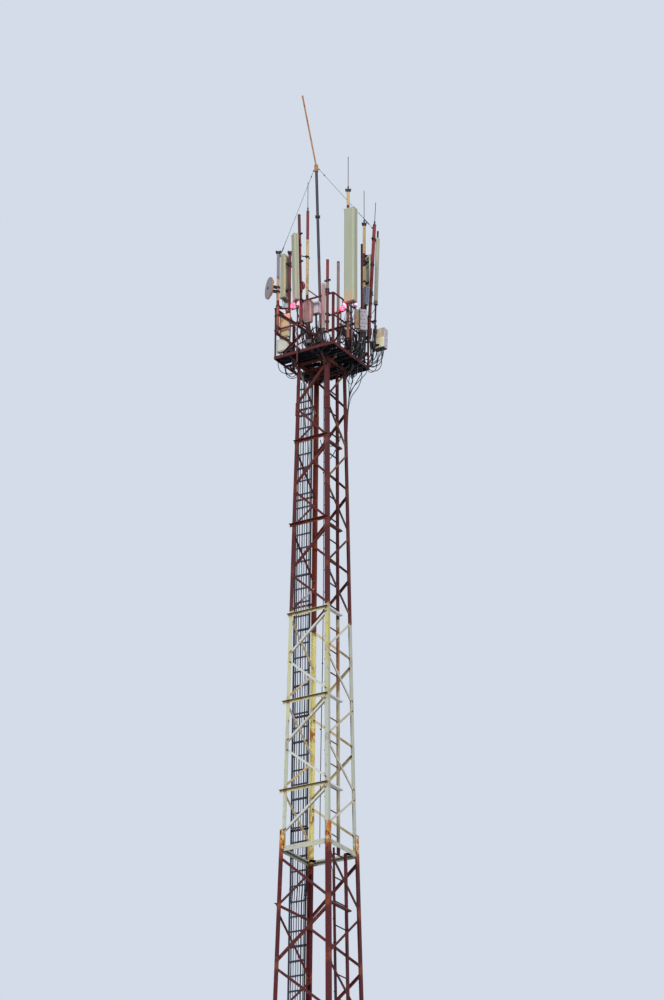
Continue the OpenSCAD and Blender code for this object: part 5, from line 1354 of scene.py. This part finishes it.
        ties = bmesh.new()
        for z in (20.5, 21.9, 23.3, 24.7, 26.1, 27.5):
            ring(ties, at(0.011 if z < 22 else 0.05, 0.005, z), 0.010, 0.016, 0.02, 10)
        for a in (0.3, 2.4, 4.5):
            spot = centre + Vector((0.104 * math.cos(a), 0.021, 0.094 * math.sin(a)))
            block(ties, at(*spot) @ Matrix.Rotation(-a, 4, "Y"), (0.045, 0.070, 0.008), 0.003)
        piece("cable_ties", ties, "matt_black_sheath")
        return {"FINISHED"}


class TOWER_OT_stay_fittings(bpy.types.Operator):
    """Adds turnbuckles and wire grips to the mast's two stays."""

    bl_idname = "tower.stay_fittings"
    bl_label = "Add the Stay Fittings"

    def execute(self, context):
        bm = bmesh.new()
        rise = 4.70
        mast = Vector((-rise * MAST_LEAN, 0, PLATFORM_Z + rise))
        for s, i in ((-1, 0), (1, 8)):
            top = mast + Vector((s * 0.066, 0, 0))
            foot = pipe_frame(i, PIPES[i].top - 0.08).translation
            foot = foot + Vector((-foot.x, -foot.y, 0)).normalized() * (PIPES[i].diameter / 2 + 0.012)
            way = (top - foot).normalized()
            for start, size in ((foot + way * 0.10, 0.16), (top - way * 0.20, 0.05)):
                turned(bm, along(start, start + way)[0], (
                    (0.0042, 0), (0.011, 0.008), (0.012, size * 0.5), (0.011, size - 0.008),
                    (0.0042, size)), 10)
            for step in (0.30, 0.36, 0.42):
                matrix, _ = along(foot + way * step, foot + way * (step + 1))
                block(bm, matrix @ at(0.006, 0, 0), (0.026, 0.014, 0.014), 0.003)
        piece("stay_turnbuckles", bm, "stay_zinc")
        return {"FINISHED"}


class TOWER_OT_stage(bpy.types.Operator):
    """Lays the floor and sets the light and the camera."""

    bl_idname = "tower.stage"
    bl_label = "Set the Stage"

    def execute(self, context):
        scene = context.scene
        bm = bmesh.new()
        bmesh.ops.create_circle(bm, cap_ends=True, segments=96, radius=34.0, matrix=raised(-0.002))
        mesh = bpy.data.meshes.new("pale_floor")
        bm.to_mesh(mesh)
        bm.free()
        floor = bpy.data.objects.new("pale_floor", mesh)
        scene.collection.objects.link(floor)
        # The camera sees the lit floor a little lighter, so that its rim fades into the backdrop.
        material, tree, shader = blank_material("matt_pale_floor")
        wire(tree, shader, {
            "Base Color": linear("#D9DEE4"), "Roughness": 0.9, "Emission Color": (0.124, 0.150, 0.166, 1.0),
            "Emission Strength": add(tree, "ShaderNodeLightPath").outputs["Is Camera Ray"]})
        mesh.materials.append(material)

        world = bpy.data.worlds.new("pale_surround")
        scene.world = world
        world.use_nodes = True
        tree = world.node_tree
        tree.nodes.clear()
        rays = add(tree, "ShaderNodeLightPath").outputs
        seen = output(tree, MATH, {0: rays["Is Camera Ray"], 1: rays["Is Glossy Ray"]}, operation="MAXIMUM")
        seen = output(tree, MATH, {0: seen, 1: rays["Is Transmission Ray"]}, operation="MAXIMUM")
        lighting = output(tree, "ShaderNodeBackground", {"Color": linear("#DCE0F0"), "Strength": 0.42})
        backdrop = output(tree, "ShaderNodeBackground", {"Color": linear("#D3DCE8"), "Strength": 1.0})
        mix = output(tree, "ShaderNodeMixShader", {0: seen, 1: lighting, 2: backdrop})
        add(tree, "ShaderNodeOutputWorld", {"Surface": mix})

        for name, azimuth, elevation, strength, angle in (
                ("key_light", 10.0, 30.0, 2.25, 20.0), ("fill_light", 80.0, 12.0, 1.2, 50.0)):
            light = bpy.data.lights.new(name, "SUN")
            light.energy = strength
            light.angle = math.radians(angle)
            lamp = bpy.data.objects.new(name, light)
            scene.collection.objects.link(lamp)
            a, e = math.radians(azimuth), math.radians(elevation)
            back = Vector((math.sin(a) * math.cos(e), -math.cos(a) * math.cos(e), math.sin(e)))
            lamp.location = back * 60 + Vector((0, 0, 15))
            lamp.rotation_mode = "QUATERNION"
            lamp.rotation_quaternion = (-back).to_track_quat("-Z", "Y")

        # The photograph's viewpoint: 64 m away, a little below the feet, looking up.
        azimuth, pitch, roll = math.radians(31.4), math.radians(24.37), math.radians(0.22)
        distance, offset, height = 64.07, 0.222, -2.114
        ahead = Vector((-math.sin(azimuth), math.cos(azimuth), 0))
        right = Vector((math.cos(azimuth), math.sin(azimuth), 0))
        up = Vector((0, 0, 1))
        look = ahead * math.cos(pitch) + up * math.sin(pitch)
        top = -ahead * math.sin(pitch) + up * math.cos(pitch)
        axes = (right * math.cos(roll) + top * math.sin(roll), -right * math.sin(roll) + top * math.cos(roll),
                -look, -ahead * distance + right * offset + up * height)
        data = bpy.data.cameras.new("camera")
        data.lens = 123.82
        data.sensor_width = 36.0
        data.clip_start = 0.5
        data.clip_end = 600.0
        camera = bpy.data.objects.new("camera", data)
        scene.collection.objects.link(camera)
        columns = [(*column, last) for column, last in zip(axes, (0, 0, 0, 1))]
        camera.matrix_world = Matrix(columns).transposed()
        scene.camera = camera
        scene.view_settings.view_transform = "Standard"
        return {"FINISHED"}


class TOWER_PT_panel(bpy.types.Panel):
    """Lists the sizes, colours and steps of the tower."""

    bl_label = "Lattice Cell Tower"
    bl_idname = "TOWER_PT_panel"
    bl_space_type = "VIEW_3D"
    bl_region_type = "UI"
    bl_category = "Tower"

    def draw(self, context):
        for group in (context.scene.tower_finish, context.scene.tower_fittings):
            for name in group.__annotations__:
                self.layout.prop(group, name)
        for step in STEPS:
            self.layout.operator(step.bl_idname)


STEPS = (TOWER_OT_stage, TOWER_OT_steelwork, TOWER_OT_ladder, TOWER_OT_head, TOWER_OT_bolts,
         TOWER_OT_pipe_fittings, TOWER_OT_antenna_fittings, TOWER_OT_radio_fittings,
         TOWER_OT_dish_fittings, TOWER_OT_lamps, TOWER_OT_deck_fittings, TOWER_OT_leads,
         TOWER_OT_stay_fittings)
CLASSES = (TowerFinish, TowerFittings) + STEPS + (TOWER_PT_panel,)


def register():
    for item in CLASSES:
        bpy.utils.register_class(item)
    bpy.types.Scene.tower_finish = PointerProperty(type=TowerFinish)
    bpy.types.Scene.tower_fittings = PointerProperty(type=TowerFittings)


def unregister():
    del bpy.types.Scene.tower_fittings
    del bpy.types.Scene.tower_finish
    for item in reversed(CLASSES):
        bpy.utils.unregister_class(item)


def main():
    register()
    for step in STEPS:
        getattr(bpy.ops.tower, step.bl_idname.split(".")[1])()


if __name__ == "__main__":
    main()
